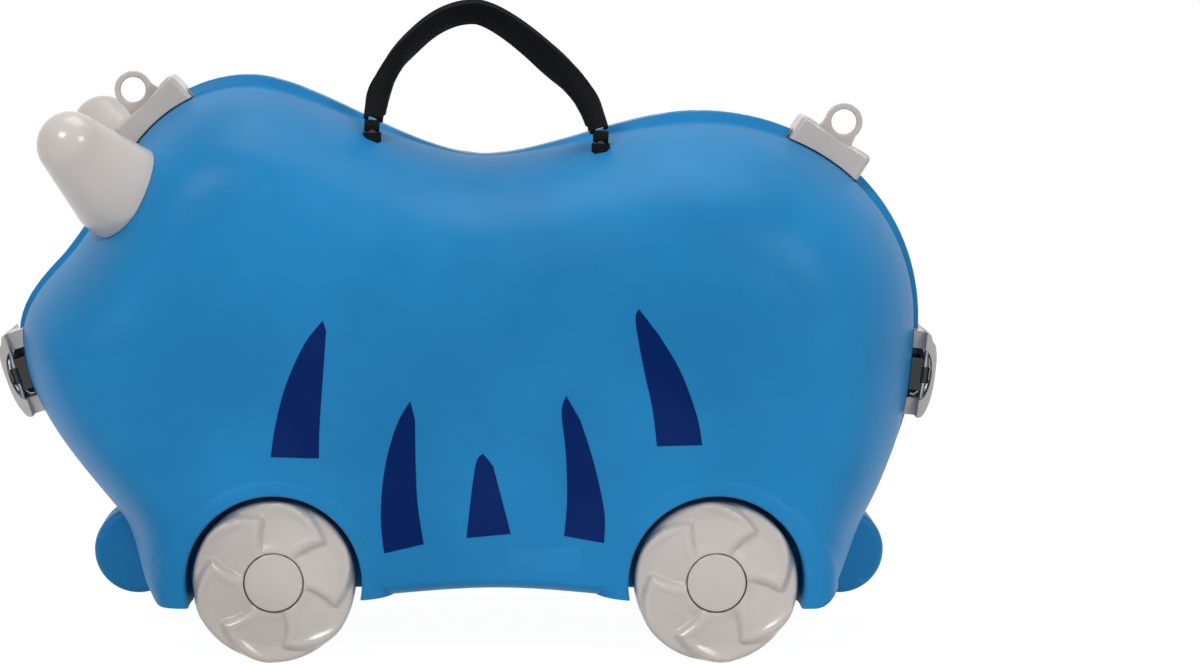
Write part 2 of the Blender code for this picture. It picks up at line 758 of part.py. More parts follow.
def wheel_mesh():
    """A moulded wheel: fan blades outside, a hollow behind them, a hub with a recess."""
    base = WHEEL_FACE_Y - BLADE_RELIEF
    groove_y = WHEEL_BACK_Y + 0.016
    bore = AXLE_R + RUNNING_GAP
    rows = [
        (bore, HUB_FLOOR_Y, 0.0), (RECESS_R, HUB_FLOOR_Y, 0.0),
        (RECESS_R, base + 0.0006, 0.45), (WHEEL_R * 0.55, base, 0.85),
        (WHEEL_R * CORNER_SHARE, base, 1.0), (WHEEL_R * 0.90, base - 0.0004, 0.8),
        (WHEEL_R * 0.975, base - 0.0016, 0.5), (WHEEL_R, base - 0.0045, 0.0),
        (WHEEL_R, WHEEL_BACK_Y + 0.002, 0.0), (WHEEL_R - 0.002, WHEEL_BACK_Y, 0.0),
        (WHEEL_R - 0.0055, WHEEL_BACK_Y, 0.0), (WHEEL_R - 0.0065, groove_y, 0.0),
        (BOSS_R + 0.004, groove_y, 0.0), (BOSS_R + 0.003, WHEEL_BACK_Y, 0.0),
        (bore, WHEEL_BACK_Y, 0.0),
    ]
    rings = []
    for radius, height, relief in rows:
        ring = []
        for blade in range(BLADES):
            for share, rise in BLADE_COLUMNS:
                angle = blade_edge(radius) + 2 * math.pi * (blade + share) / BLADES
                ring.append((radius * math.cos(angle), radius * math.sin(angle),
                             height + BLADE_RELIEF * relief * rise))
        rings.append(ring)
    return loft("wheel", rings, loop=True)


def build_wheels():
    """Four wheels with their caps, stub axles and retainers."""
    wheel = wheel_mesh()
    wheel.materials.append(WHITE)
    cap_top = WHEEL_FACE_Y + 0.0004
    cap = [(0.0, cap_top), (HUB_R * 0.6, cap_top - 0.0002), (HUB_R * 0.88, cap_top - 0.0009),
           (HUB_R, cap_top - 0.0022), (HUB_R, HUB_FLOOR_Y + FIT), (HUB_R - 0.002, HUB_FLOOR_Y + FIT),
           (HUB_R - 0.002, cap_top - 0.0032), (0.0, cap_top - 0.0032)]
    head = HUB_FLOOR_Y + FIT
    inner_end = WELL_FLOOR_Y - WALL - RETAINER_THICK - 0.0015
    axle = [(0.0, head + AXLE_HEAD_THICK), (AXLE_HEAD_R, head + AXLE_HEAD_THICK),
            (AXLE_HEAD_R, head), (AXLE_R, head), (AXLE_R, inner_end), (0.0, inner_end)]
    half = RETAINER_SIZE / 2
    top = WELL_FLOOR_Y - WALL - FIT
    for side_name, side in SIDES.items():
        lid = side_name == "far"
        room = place(f"room_for_retainers_{side_name}", body_mesh(
            "room", side, grow=-FIT, inner=True))
        for end, x in WHEELS.items():
            frame = outwards(x, WHEEL_Z, side)
            spun = frame @ Matrix.Rotation(WHEEL_PHASE[end], 4, "Z")
            item = bpy.data.objects.new(f"wheel_{end}_{side_name}", wheel)
            item.matrix_world = spun
            GROUPS["kids_suitcase"].objects.link(item)
            if lid:
                item.parent = LID
                item.matrix_parent_inverse = Matrix.Translation(LID.location).inverted()
            turned(f"hub_cap_{end}_{side_name}", cap, WHITE, frame, 20, lid)
            turned(f"axle_{end}_{side_name}", axle, STEEL, frame, 16, lid)
            retainer = place(f"retainer_{end}_{side_name}", box_mesh(
                "retainer", (-half, -half, top - RETAINER_THICK), (half, half, top)),
                WHITE, frame, lid)
            soften(retainer, 0.001, 1)
            boolean(retainer, "INTERSECT", room)
            boolean(retainer, "DIFFERENCE", place(f"axle_room_{end}_{side_name}", rod_mesh(
                "room", AXLE_R + FIT, (0, 0, 0), (0, 0, SIDE_Y)), matrix=frame))


# Case hinge


def build_hinges():
    """Two hinges: a leaf in each lobe, knuckles in turn, and a pin."""
    for end in LOBES:
        spans = knuckle_spans(end)
        for side_name, side in SIDES.items():
            leaf = leaf_disc(f"hinge_leaf_{end}_{side_name}", end, side, 0.0, WHITE,
                             side_name == "far")
            others = [rod_mesh("room", KNUCKLE_R + 0.0004, (low - FIT, 0, HINGE_Z),
                               (high + FIT, 0, HINGE_Z))
                      for owner, low, high in spans if owner != side_name]
            boolean(leaf, "DIFFERENCE", place(f"others_{end}_{side_name}", merged("room", others)))
            own = [rod_mesh("knuckle", KNUCKLE_R, (low, 0, HINGE_Z), (high, 0, HINGE_Z))
                   for owner, low, high in spans if owner == side_name]
            boolean(leaf, "UNION", place(f"knuckles_{end}_{side_name}", merged("knuckles", own)))
            boolean(leaf, "DIFFERENCE", place(f"pin_room_{end}_{side_name}", rod_mesh(
                "room", HINGE_PIN_R + 0.0002, (spans[0][1] - WALL, 0, HINGE_Z),
                (spans[-1][2] + WALL, 0, HINGE_Z), 12)))
        place(f"hinge_pin_{end}", rod_mesh("pin", HINGE_PIN_R, (spans[0][1], 0, HINGE_Z),
                                           (spans[-1][2], 0, HINGE_Z), 12), STEEL)


# Tow clips


def ring_outline():
    """The ring's outer line in its own plane: a round top that flows down to a wide bar."""
    points = []
    low = RING_PIVOT + RING_THICK / 2
    foot = RING_BASE / 2
    start = math.radians(-28)
    steps = 16
    for i in range(steps + 1):
        angle = start + (math.pi - 2 * start) * i / steps
        points.append((RING_R * math.cos(angle), RING_CENTRE + RING_R * math.sin(angle)))
    points += [(-foot + 0.002, low + 0.0010), (-foot, low), (-foot, RING_PIVOT - RING_THICK / 2),
               (foot, RING_PIVOT - RING_THICK / 2), (foot, low), (foot - 0.002, low + 0.0010)]
    return points


def flat_mesh(name, outlines, thickness):
    """A flat piece with holes from closed outlines in X and Z, standing across Y."""
    curve = bpy.data.curves.new(name, "CURVE")
    curve.dimensions = "2D"
    curve.fill_mode = "BOTH"
    curve.extrude = thickness / 2
    for points in outlines:
        spline = curve.splines.new("POLY")
        spline.points.add(len(points) - 1)
        for i, (x, z) in enumerate(points):
            spline.points[i].co = (x, z, 0.0, 1.0)
        spline.use_cyclic_u = True
    item = bpy.data.objects.new(name, curve)
    bpy.context.scene.collection.objects.link(item)
    bpy.context.view_layer.update()
    mesh = bpy.data.meshes.new_from_object(item.evaluated_get(
        bpy.context.evaluated_depsgraph_get()))
    bpy.data.objects.remove(item, do_unlink=True)
    bm = bmesh.new()
    bm.from_mesh(mesh)
    bmesh.ops.remove_doubles(bm, verts=bm.verts, dist=0.00001)
    bmesh.ops.transform(bm, matrix=Matrix.Rotation(math.pi / 2, 4, "X"), verts=bm.verts)
    return to_mesh(bm, name)


def build_tow_clips():
    """Two saddle blocks over the seam, fixed to the far half, each with a folding ring."""
    far_skin = place("skin_for_clips_far", body_mesh("skin", 1, grow=FIT, flange=False))
    near_skin = place("skin_for_clips_near", body_mesh("skin", -1, grow=0.0009, flange=False))
    room = place("room_for_blocks", body_mesh("room", 1, grow=-FIT, inner=True))
    half = CLIP_LENGTH / 2
    wide = CLIP_HALF_WIDTH
    groove = RING_THICK / 2 + 0.0016
    bottom = RING_PIVOT - groove
    rise = CLIP_RISE + 0.002
    spread = groove + (rise - RING_PIVOT + 0.0004) / math.tan(math.pi / 2 - RING_FOLD)
    trough = [(-groove, bottom), (groove, bottom), (groove, RING_PIVOT - 0.0004), (spread, rise),
              (-spread, rise), (-groove, RING_PIVOT - 0.0004)]
    slot = RING_BASE / 2 + 0.0005
    hole = [(RING_HOLE_R * math.cos(2 * math.pi * i / 20),
             RING_CENTRE + RING_HOLE_R * math.sin(2 * math.pi * i / 20)) for i in range(20)]
    reach = RING_BASE / 2 + TRUNNION_LENGTH
    for end, frame in CLIP_SEATS.items():
        clip = place(f"tow_clip_{end}", box_mesh("clip", (-half, -wide, -0.012),
                                                 (half, wide, CLIP_RISE)), WHITE, frame, True)
        soften(clip, CLIP_ROUND)
        boolean(clip, "DIFFERENCE", near_skin)
        boolean(clip, "DIFFERENCE", far_skin)
        boolean(clip, "DIFFERENCE", place(f"trough_{end}", prism_mesh(
            "trough", trough, -slot, slot, axis="X"), matrix=frame))
        boolean(clip, "DIFFERENCE", place(f"trunnion_room_{end}", rod_mesh(
            "room", TRUNNION_R + FIT, (-reach - FIT, 0, RING_PIVOT), (reach + FIT, 0, RING_PIVOT),
            12), matrix=frame))
        pivot = frame @ Matrix.Translation((0, 0, RING_PIVOT))
        ring_mesh = flat_mesh("ring", [ring_outline(), hole], RING_THICK)
        ring_mesh.transform(Matrix.Translation((0, 0, -RING_PIVOT)))
        ring = place(f"tow_ring_{end}", ring_mesh, WHITE, pivot, True)
        boolean(ring, "UNION", place(f"trunnions_{end}", rod_mesh(
            "trunnions", TRUNNION_R, (-reach, 0, 0), (reach, 0, 0), 12), matrix=pivot))
        length, depth, height = CLIP_BLOCK
        block = place(f"clip_block_{end}", box_mesh(
            "block", (-length / 2, BLOCK_Y, -CLIP_BLOCK_DROP - height),
            (length / 2, BLOCK_Y + depth, 0.0)), WHITE, frame, True)
        boolean(block, "INTERSECT", room)
        cells = []
        for column in (-1, 0, 1):
            for row in (0, 1):
                middle = Vector((column * length * 0.3, BLOCK_Y, -0.013 - row * height * 0.42))
                cells.append(box_mesh("cell", middle - Vector((0.0033, 0.001, 0.0030)),
                                      middle + Vector((0.0033, 0.005, 0.0030))))
        boolean(block, "DIFFERENCE", place(f"cells_{end}", merged("cells", cells), matrix=frame))


# Latches and locks


def latch_profile(up):
    """The latch seen from the side of the case: two legs and a bow with an arched opening."""
    half, proud, lift = LATCH_HALF_HEIGHT, LATCH_PROUD, LATCH_LIFT
    foot = lift - 0.0004
    points = [(half, foot), (half - 0.0015, 0.0034), (half - 0.0050, 0.0046),
              (half - 0.0066, proud * 0.72), (half - 0.0102, proud * 0.91), (0.006, proud),
              (-0.004, proud), (-half * 0.56, proud * 0.90), (-half * 0.84, proud * 0.67),
              (-half + 0.0006, 0.0034), (-half, foot), (-ARCH_HALF_HEIGHT - 0.001, lift)]
    steps = 8
    for i in range(steps + 1):
        angle = math.pi * (1 - i / steps)
        points.append((ARCH_HALF_HEIGHT * math.cos(angle),
                       lift + (ARCH_PROUD - lift) * math.sin(angle)))
    points.append((ARCH_HALF_HEIGHT + 0.001, lift))
    return [(along * up, out) for along, out in points]


def build_latches():
    """Two latches that swing on the near half, with their bases, pins, locks and keepers."""
    near_skin = place("skin_for_bases", body_mesh("skin", -1, grow=FIT))
    far_skin = place("skin_for_keepers", body_mesh("skin", 1, grow=FIT))
    window_low = -(BARREL_Y + BARREL_R + 0.0016)
    window_high = -(BARREL_Y - BARREL_R - 0.0026)
    pin_reach = ARCH_HALF_HEIGHT + 0.0028
    rim = SEAM_GAP + SEAL_THICK + FIT
    for end, frame in LATCH_SEATS.items():
        up = 1 if end == "front" else -1
        pivot = frame @ Matrix.Translation((0, -LATCH_PIN_Y, LATCH_PIN_LIFT))
        bow = prism_mesh("latch", latch_profile(up), -LATCH_HALF_WIDTH, LATCH_HALF_WIDTH)
        bow.transform(Matrix.Translation((0, LATCH_PIN_Y, -LATCH_PIN_LIFT)))
        latch = place(f"latch_{end}", bow, WHITE, pivot)
        soften(latch, LATCH_ROUND, 1, 30)
        boolean(latch, "DIFFERENCE", place(f"window_{end}", box_mesh(
            "window", (-WINDOW_HALF_HEIGHT, window_low, LATCH_LIFT),
            (WINDOW_HALF_HEIGHT, window_high, LATCH_PROUD * 2)), matrix=frame))
        boolean(latch, "DIFFERENCE", place(f"latch_pin_room_{end}", rod_mesh(
            "room", LATCH_PIN_R + FIT, (-pin_reach - FIT, 0, 0), (pin_reach + FIT, 0, 0), 12),
            matrix=pivot))
        place(f"latch_pin_{end}", rod_mesh("pin", LATCH_PIN_R, (-pin_reach, 0, 0),
                                           (pin_reach, 0, 0), 12), STEEL, pivot)
        base = place(f"latch_base_{end}", box_mesh(
            "base", (-BASE_HALF_HEIGHT, -LATCH_PIN_Y - BASE_PAST_PIN, -0.010),
            (BASE_HALF_HEIGHT, -rim, BASE_PROUD)), BLUE, frame)
        boolean(base, "DIFFERENCE", near_skin)
        boolean(base, "UNION", place(f"base_knuckle_{end}", rod_mesh(
            "knuckle", LATCH_PIN_R + LATCH_KNUCKLE_WALL, (-0.004, -LATCH_PIN_Y, LATCH_PIN_LIFT),
            (0.004, -LATCH_PIN_Y, LATCH_PIN_LIFT), 16), matrix=frame))
        boolean(base, "DIFFERENCE", place(f"base_pin_room_{end}", rod_mesh(
            "room", LATCH_PIN_R + FIT, (-pin_reach, 0, 0), (pin_reach, 0, 0), 12), matrix=pivot))
        boolean(base, "DIFFERENCE", place(f"spigot_room_{end}", rod_mesh(
            "room", BARREL_SPIGOT_R + FIT, (0, -BARREL_Y, -0.0018 - FIT),
            (0, -BARREL_Y, BASE_PROUD + 0.001), 16), matrix=frame))
        seat_frame = frame @ Matrix.Translation((0, -BARREL_Y, 0))
        low = BASE_PROUD + FIT
        profile = [(0.0, BARREL_PROUD), (BARREL_R - 0.0010, BARREL_PROUD),
                   (BARREL_R, BARREL_PROUD - 0.0010), (BARREL_R, low), (BARREL_SPIGOT_R, low),
                   (BARREL_SPIGOT_R, -0.0018), (0.0, -0.0018)]
        barrel = turned(f"lock_barrel_{end}", profile, CHROME, seat_frame, 18)
        long, wide, deep = KEY_SLOT
        boolean(barrel, "DIFFERENCE", place(f"key_slot_{end}", box_mesh(
            "slot", (-long / 2, -wide / 2, BARREL_PROUD - deep),
            (long / 2, wide / 2, BARREL_PROUD + deep)), matrix=seat_frame))
        keeper_far = LATCH_HALF_WIDTH - 0.001
        keeper = place(f"latch_keeper_{end}", box_mesh(
            "keeper", (-KEEPER_HALF_HEIGHT, keeper_far - KEEPER_DEPTH, -0.010),
            (KEEPER_HALF_HEIGHT, keeper_far, KEEPER_PROUD)), BLUE, frame, True)
        soften(keeper, 0.0008, 1)
        boolean(keeper, "DIFFERENCE", far_skin)


# Handles


def handle_line(side):
    """The handle's middle line from its front pivot over the top to its rear pivot."""
    front, rear = handle_pivots(side)
    top = Vector((SADDLE_X - 0.005, side * HANDLE_TOP_Y, HANDLE_TOP_Z - WEBBING_WIDTH * 0.25))
    lean_in = (top - (front + rear) / 2)
    up_front = Vector((0.16, lean_in.y / lean_in.z, 1.0)).normalized()
    up_rear = Vector((-0.18, lean_in.y / lean_in.z, 1.0)).normalized()
    ahead = Vector((1.0, 0.0, 0.0))
    count = HANDLE_STEPS // 2
    first = interpolate_bezier(front, front + up_front * 0.022, top - ahead * 0.027, top, count + 1)
    second = interpolate_bezier(top, top + ahead * 0.015, rear + up_rear * 0.022, rear, count + 1)
    return first + second[1:]


def build_handles():
    """A webbing loop on each half, its folded ends turning on two knobs held from inside."""
    for side_name, side in SIDES.items():
        lid = side_name == "far"
        line = handle_line(side)
        front, rear = line[0], line[-1]
        middle = (front + rear) / 2
        rings = []
        last = len(line) - 1
        for i, point in enumerate(line):
            way = (line[min(i + 1, last)] - line[max(i - 1, 0)]).normalized()
            share = i / last
            open_out = min(1.0, min(share, 1 - share) / 0.2)
            width = ease(WEBBING_END, WEBBING_WIDTH, open_out)
            thick = ease(BARREL_END_R * 1.3, WEBBING_THICK, open_out)
            flat = Vector((0.0, 1.0, 0.0))
            flat = (flat - way * flat.dot(way)).normalized()
            up = way.cross(flat)
            twist = side * ease(WEBBING_TWIST_FRONT, WEBBING_TWIST_REAR, share)
            across = flat * math.cos(twist) + up * math.sin(twist)
            if open_out < 1.0:
                across = across.lerp(Vector((1, 0, 0)), 1 - open_out).normalized()
                across = (across - way * across.dot(way)).normalized()
            normal = way.cross(across)
            rings.append([point + across * width / 2 * a + normal * thick / 2 * b - middle
                          for a, b in ((-1, -1), (1, -1), (1, 1), (-1, 1))])
        loop = place(f"handle_{side_name}", loft("handle", rings), WEBBING,
                     Matrix.Translation(middle), lid)
        along = (rear - front).normalized() * BARREL_END_LENGTH / 2
        ends = [rod_mesh("end", BARREL_END_R, spot - along - middle, spot + along - middle, 16)
                for spot in (front, rear)]
        boolean(loop, "UNION", place(f"rolled_ends_{side_name}", merged("ends", ends),
                                     matrix=Matrix.Translation(middle)))
        build_anchor(side_name, side, (front, rear), along, lid)



def build_anchor(side_name, side, pivots, along, lid):
    """A bar under the skin with two knobs, whose stubs reach up to the handle's rolled ends."""
    half = ANCHOR_SIZE / 2
    knobs, stubs, turns = [], [], []
    for spot in pivots:
        low = Vector((spot.x - half, spot.y - half, spot.z - 0.020))
        high = Vector((spot.x + half, spot.y + half, spot.z))
        knobs.append(box_mesh("knob", low, high))
        stubs.append(rod_mesh("stub", STUB_R, spot, spot - Vector((0, 0, 0.012)), 16))
        turns.append(rod_mesh("turn", BARREL_END_R + FIT, spot - along * 3, spot + along * 3, 16))
    front, rear = pivots
    anchor = place(f"handle_anchor_{side_name}", box_mesh(
        "anchor", Vector((front.x, front.y - half, rear.z - 0.030)),
        Vector((rear.x, front.y + half, front.z))), NYLON, lid=lid)
    under = place(f"under_anchor_{side_name}", body_mesh(
        "under", side, grow=-FIT - ANCHOR_THICK, inner=True))
    boolean(anchor, "DIFFERENCE", under)
    boolean(anchor, "UNION", place(f"knobs_{side_name}", merged("knobs", knobs)))
    boolean(anchor, "INTERSECT", place(f"room_for_anchor_{side_name}", body_mesh(
        "room", side, grow=-FIT, inner=True)))
    boolean(anchor, "UNION", place(f"stubs_{side_name}", merged("stubs", stubs)))
    boolean(anchor, "DIFFERENCE", place(f"turns_{side_name}", merged("turns", turns)))


# Straps, buckle and pocket inside the far half


def strap_corners():
    """Frames at the straps' four ends: X runs along the strap to the buckle, Y off the seam."""
    tips = {"front": BUCKLE_X - BUCKLE_SOCKET[0] * 0.9, "rear": BUCKLE_X + BUCKLE_PLUG[0] * 0.9}
    corners = {}
    for end, seat_frame in CLIP_SEATS.items():
        tip = Vector((tips[end], STRAP_Y, BUCKLE_Z))
        block = seat_frame @ Vector((0, 0, -CLIP_BLOCK_DROP - CLIP_BLOCK[2] * 0.7))
        for level, (x, z) in (("top", (block.x, block.z)), ("bottom", STRAP_CORNERS[end])):
            start = Vector((x, STRAP_Y, z))
            angle = math.atan2(tip.z - z, tip.x - x)
            corners[end, level] = (Matrix.Translation(start) @ Matrix.Rotation(-angle, 4, "Y"),
                                   (tip - start).length)
    return corners


def build_packing_straps():
    """Two straps in an X, held at the corners and joined by a side-release buckle."""
    room = place("room_for_straps", body_mesh("room", 1, grow=-FIT, inner=True))
    grown = Vector((FIT, FIT, FIT))
    corners = strap_corners()
    holders = []
    long, deep, tall = STRAP_ANCHOR
    for end in CLIP_SEATS:
        frame, _ = corners[end, "bottom"]
        low = Vector((-long * 0.7, -deep * 0.7, -tall / 2))
        high = low + Vector((long, deep, tall))
        anchor = place(f"strap_anchor_{end}", box_mesh("anchor", low, high), WHITE, frame, True)
        soften(anchor, 0.001, 1)
        boolean(anchor, "INTERSECT", room)
        holder = box_mesh("holder", low - grown, high + grown)
        holder.transform(frame)
        holders.append(holder)
    long, deep, tall = CLIP_BLOCK
    for frame in CLIP_SEATS.values():
        holder = box_mesh("holder", Vector((-long / 2, BLOCK_Y, -CLIP_BLOCK_DROP - tall)) - grown,
                          Vector((long / 2, BLOCK_Y + deep, 0.0)) + grown)
        holder.transform(frame)
        holders.append(holder)
    middle_y = STRAP_Y + STRAP_THICK / 2
    for name, (long, deep, tall), low_x in (
            ("buckle_socket", BUCKLE_SOCKET, BUCKLE_X - BUCKLE_SOCKET[0]),
            ("buckle_plug", BUCKLE_PLUG, BUCKLE_X + FIT)):
        low = Vector((low_x, middle_y - deep / 2, BUCKLE_Z - tall / 2))
        high = low + Vector((long, deep, tall))
        body = place(name, box_mesh(name, low, high), NYLON, lid=True)
        soften(body, 0.002, 2)
        holders.append(box_mesh("holder", low - grown, high + grown))
    for end in CLIP_SEATS:
        arms = []
        for level in ("top", "bottom"):
            frame, length = corners[end, level]
            arm = box_mesh("arm", (0, 0, -STRAP_WIDTH / 2), (length, STRAP_THICK, STRAP_WIDTH / 2))
            arm.transform(frame)
            arms.append(arm)
        strap = place(f"strap_{end}", arms[0], WEBBING, lid=True)
        boolean(strap, "UNION", place(f"second_arm_{end}", arms[1]))
        for i, holder in enumerate(holders):
            boolean(strap, "DIFFERENCE", place(f"stop_{i}_{end}", holder))


def build_pocket():
    """A flat mesh pocket along the hinge, with its zip and the zip's slider."""
    room = place("room_for_pocket", body_mesh("room", 1, grow=-FIT, inner=True))
    pocket = place("pocket", box_mesh("pocket", (POCKET_FRONT_X, POCKET_Y, 0.0),
                                      (POCKET_REAR_X, POCKET_Y + POCKET_THICK, POCKET_TOP_Z)),
                   MESH_CLOTH, lid=True)
    boolean(pocket, "INTERSECT", room)
    middle = POCKET_Y + POCKET_THICK / 2
    low = POCKET_TOP_Z + FIT
    place("pocket_zip", box_mesh(
        "zip", (POCKET_FRONT_X, middle - ZIP_WIDTH / 2, low),
        (POCKET_REAR_X, middle + ZIP_WIDTH / 2, low + ZIP_WIDTH * 0.6)), NYLON, lid=True)
    long, wide, tall = SLIDER
    start = POCKET_FRONT_X + ZIP_TRAVEL_END
    base = low + ZIP_WIDTH * 0.6 + FIT
    slider = place("zip_slider", box_mesh("slider", (-long / 2, -wide / 2, 0),
                                          (long / 2, wide / 2, tall)), CHROME,
                   Matrix.Translation((start, middle, base)), True)
    soften(slider, 0.0012, 2)


build_shells()
for half_name in SIDES:
    build_seal(half_name)
    build_horn(half_name)
build_wheels()
build_hinges()
build_tow_clips()
build_latches()
build_handles()
build_packing_straps()
build_pocket()
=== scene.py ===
# %% [markdown]
# # A ride-on suitcase for a child
# Two moulded half shells close on a middle seam. Four fan-bladed wheels, two blunt horns, end
# latches, tow clips and webbing handles sit on them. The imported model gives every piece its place,
# and this lesson gives the pieces their looks.

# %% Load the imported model
import json
import math

import bmesh
import bpy
from mathutils import Matrix, Vector
from mathutils.bvhtree import BVHTree
from mathutils.kdtree import KDTree
from mathutils.geometry import interpolate_bezier

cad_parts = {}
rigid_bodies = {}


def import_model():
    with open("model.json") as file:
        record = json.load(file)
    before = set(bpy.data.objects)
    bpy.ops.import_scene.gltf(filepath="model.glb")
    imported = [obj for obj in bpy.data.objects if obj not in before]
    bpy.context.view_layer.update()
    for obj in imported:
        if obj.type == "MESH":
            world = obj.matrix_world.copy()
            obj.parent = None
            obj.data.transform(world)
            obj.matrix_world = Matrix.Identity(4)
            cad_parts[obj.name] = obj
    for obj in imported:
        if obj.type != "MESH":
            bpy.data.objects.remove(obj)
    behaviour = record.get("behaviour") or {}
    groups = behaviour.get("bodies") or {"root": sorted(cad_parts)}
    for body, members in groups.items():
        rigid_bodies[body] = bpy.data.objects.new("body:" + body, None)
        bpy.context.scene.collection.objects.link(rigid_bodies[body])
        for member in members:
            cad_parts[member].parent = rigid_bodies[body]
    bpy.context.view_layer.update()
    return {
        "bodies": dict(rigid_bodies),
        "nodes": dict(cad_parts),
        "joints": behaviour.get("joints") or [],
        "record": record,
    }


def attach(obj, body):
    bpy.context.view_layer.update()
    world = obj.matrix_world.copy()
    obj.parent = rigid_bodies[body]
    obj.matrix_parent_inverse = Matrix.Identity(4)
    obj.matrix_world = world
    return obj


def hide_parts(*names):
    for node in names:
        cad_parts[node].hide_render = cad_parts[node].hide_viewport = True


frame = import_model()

# %% [markdown]
# ## Shader maths
# A node tree is easier to read as a formula. `Value` wraps one socket, so that `1 - mask` adds its
# Math node by itself. `Nodes` holds a node tree, and its `add` is the only place where a node is
# made: settings first, then the values or links of its sockets. `Finish` is the tree of a material.


# %% A socket that does sums
class Value:
    """One output socket of a node, used in Python expressions."""

    def __init__(self, nodes, socket):
        self.nodes = nodes
        self.socket = socket

    def math(self, operation, *others):
        return self.nodes.add("ShaderNodeMath", {"operation": operation}, (self, *others))

    def __add__(self, other):
        return self.math("ADD", other)

    def __sub__(self, other):
        return self.math("SUBTRACT", other)

    def __rsub__(self, other):
        return self.nodes.add("ShaderNodeMath", {"operation": "SUBTRACT"}, (other, self))

    def __mul__(self, other):
        return self.math("MULTIPLY", other)

    def sine(self):
        return self.math("SINE")

    def size(self):
        return self.math("ABSOLUTE")

    def between(self, low, high):
        """0 below low, 1 above high and a smooth passage in the middle."""
        return self.nodes.add("ShaderNodeMapRange", {"interpolation_type": "SMOOTHSTEP"},
                              {0: self, 1: low, 2: high, 3: 0.0, 4: 1.0})


# %% Node trees, and the tree of a material
class Nodes:
    """A node tree and the links between its nodes."""

    def __init__(self, tree):
        self.tree = tree

    def add(self, kind, settings=None, inputs=(), out=0):
        """A node with its settings and inputs; the answer is one of its outputs, if it has any."""
        node = self.tree.nodes.new(kind)
        for key, value in (settings or {}).items():
            setattr(node, key, value)
        pairs = inputs.items() if isinstance(inputs, dict) else enumerate(inputs)
        for key, value in pairs:
            self.join(value, node.inputs[key])
        return Value(self, node.outputs[out]) if node.outputs else None

    def join(self, value, socket):
        """Links a value to a socket, or sets a plain number or colour on it."""
        if isinstance(value, Value):
            self.tree.links.new(value.socket, socket)
        elif isinstance(value, tuple) and len(value) == 3 and socket.type == "RGBA":
            socket.default_value = (*value, 1.0)
        else:
            socket.default_value = value


class Finish(Nodes):
    """One material with its Principled shader."""

    def __init__(self, name, roughness, metallic=0.0, **constants):
        self.material = bpy.data.materials.new(name)
        self.material.use_nodes = True
        super().__init__(self.material.node_tree)
        self.shader = self.tree.nodes["Principled BSDF"]
        self.set("Roughness", roughness)
        self.set("Metallic", metallic)
        for socket, number in constants.items():
            self.set(socket.replace("_", " "), number)

    def set(self, name, value):
        self.join(value, self.shader.inputs[name])

    def place(self, kind="Object"):
        """Where a point of the piece is: Object coordinates in metres, or UV."""
        return self.add("ShaderNodeTexCoord", out={"Object": 3, "UV": 2}[kind])

    def axes(self, vector):
        """The three parts of a vector as values."""
        first = self.add("ShaderNodeSeparateXYZ", None, (vector,))
        outputs = first.socket.node.outputs
        return [Value(self, outputs[i]) for i in range(3)]

    def noise(self, vector, scale, detail=3.0, roughness=0.5):
        return self.add("ShaderNodeTexNoise", None,
                        {"Vector": vector, "Scale": scale, "Detail": detail,
                         "Roughness": roughness})

    def mix(self, share, first, second):
        """A colour between two colours."""
        return self.add("ShaderNodeMix", {"data_type": "RGBA"}, {0: share, 6: first, 7: second},
                        out=2)

    def bump(self, height, distance, strength=1.0):
        """Small relief, as the normal that the shader takes."""
        self.set("Normal", self.add("ShaderNodeBump", None, {
            "Height": height, "Distance": distance, "Strength": strength}))


# %% [markdown]
# ## Moulded plastic
# The shells are satin polypropylene: one colour all through, a fine spark-eroded grain from the
# mould, faint flow marks, and rubbed spots along the bottom, where the case meets the floor. The
# off-white parts come from a polished mould, so they are glossy and show only soft waviness.


# %% Plastics
def moulded_plastic(name, colour, roughness, grain, sheen_spread=0.05, coat=0.0, gloss=0.5):
    """Plastic with broad shading differences, a fine grain and a few scuffs near the floor."""
    finish = Finish(name, roughness, Coat_Weight=coat, Coat_Roughness=0.08,
                    Specular_IOR_Level=gloss)
    spot = finish.place()
    height = finish.axes(spot)[2]
    flow = finish.noise(spot, 9.0, 4.0, 0.55)
    fine = finish.noise(spot, 900.0, 2.0)
    scuffs = finish.noise(spot, 160.0, 5.0, 0.7).between(0.60, 0.74)
    worn = scuffs * (1 - height.between(0.022, 0.060)) * 0.5
    darker = tuple(part * 0.90 for part in colour)
    lighter = tuple(min(1.0, part * 1.08 + 0.004) for part in colour)
    rubbed = tuple(part * 0.7 + 0.2 for part in colour)
    base = finish.mix(flow.between(0.35, 0.65), darker, lighter)
    finish.set("Base Color", finish.mix(worn, base, rubbed))
    finish.set("Roughness", (flow - 0.5) * sheen_spread + fine * 0.06 + worn * 0.2
               + (roughness - 0.03))
    finish.bump(fine + flow * 0.4, grain)
    return finish.material


SKY_BLUE = (0.006, 0.208, 0.480)
OFF_WHITE = (0.550, 0.500, 0.465)
blue_plastic = moulded_plastic("blue_shell", SKY_BLUE, 0.44, 0.00007, gloss=0.20)
white_plastic = moulded_plastic("off_white", OFF_WHITE, 0.24, 0.00002, 0.04, 0.25)
black_plastic = moulded_plastic("black_nylon", (0.016, 0.016, 0.018), 0.42, 0.00005)
stripe_paint = moulded_plastic("stripe_paint", (0.0006, 0.0170, 0.118), 0.40, 0.00004, gloss=0.04)
label_film = moulded_plastic("label_film", (0.008, 0.218, 0.492), 0.36, 0.00003, gloss=0.22)
seal_rubber = moulded_plastic("seal", (0.62, 0.585, 0.535), 0.58, 0.00004)
print("plastics:", blue_plastic.name, white_plastic.name, black_plastic.name)

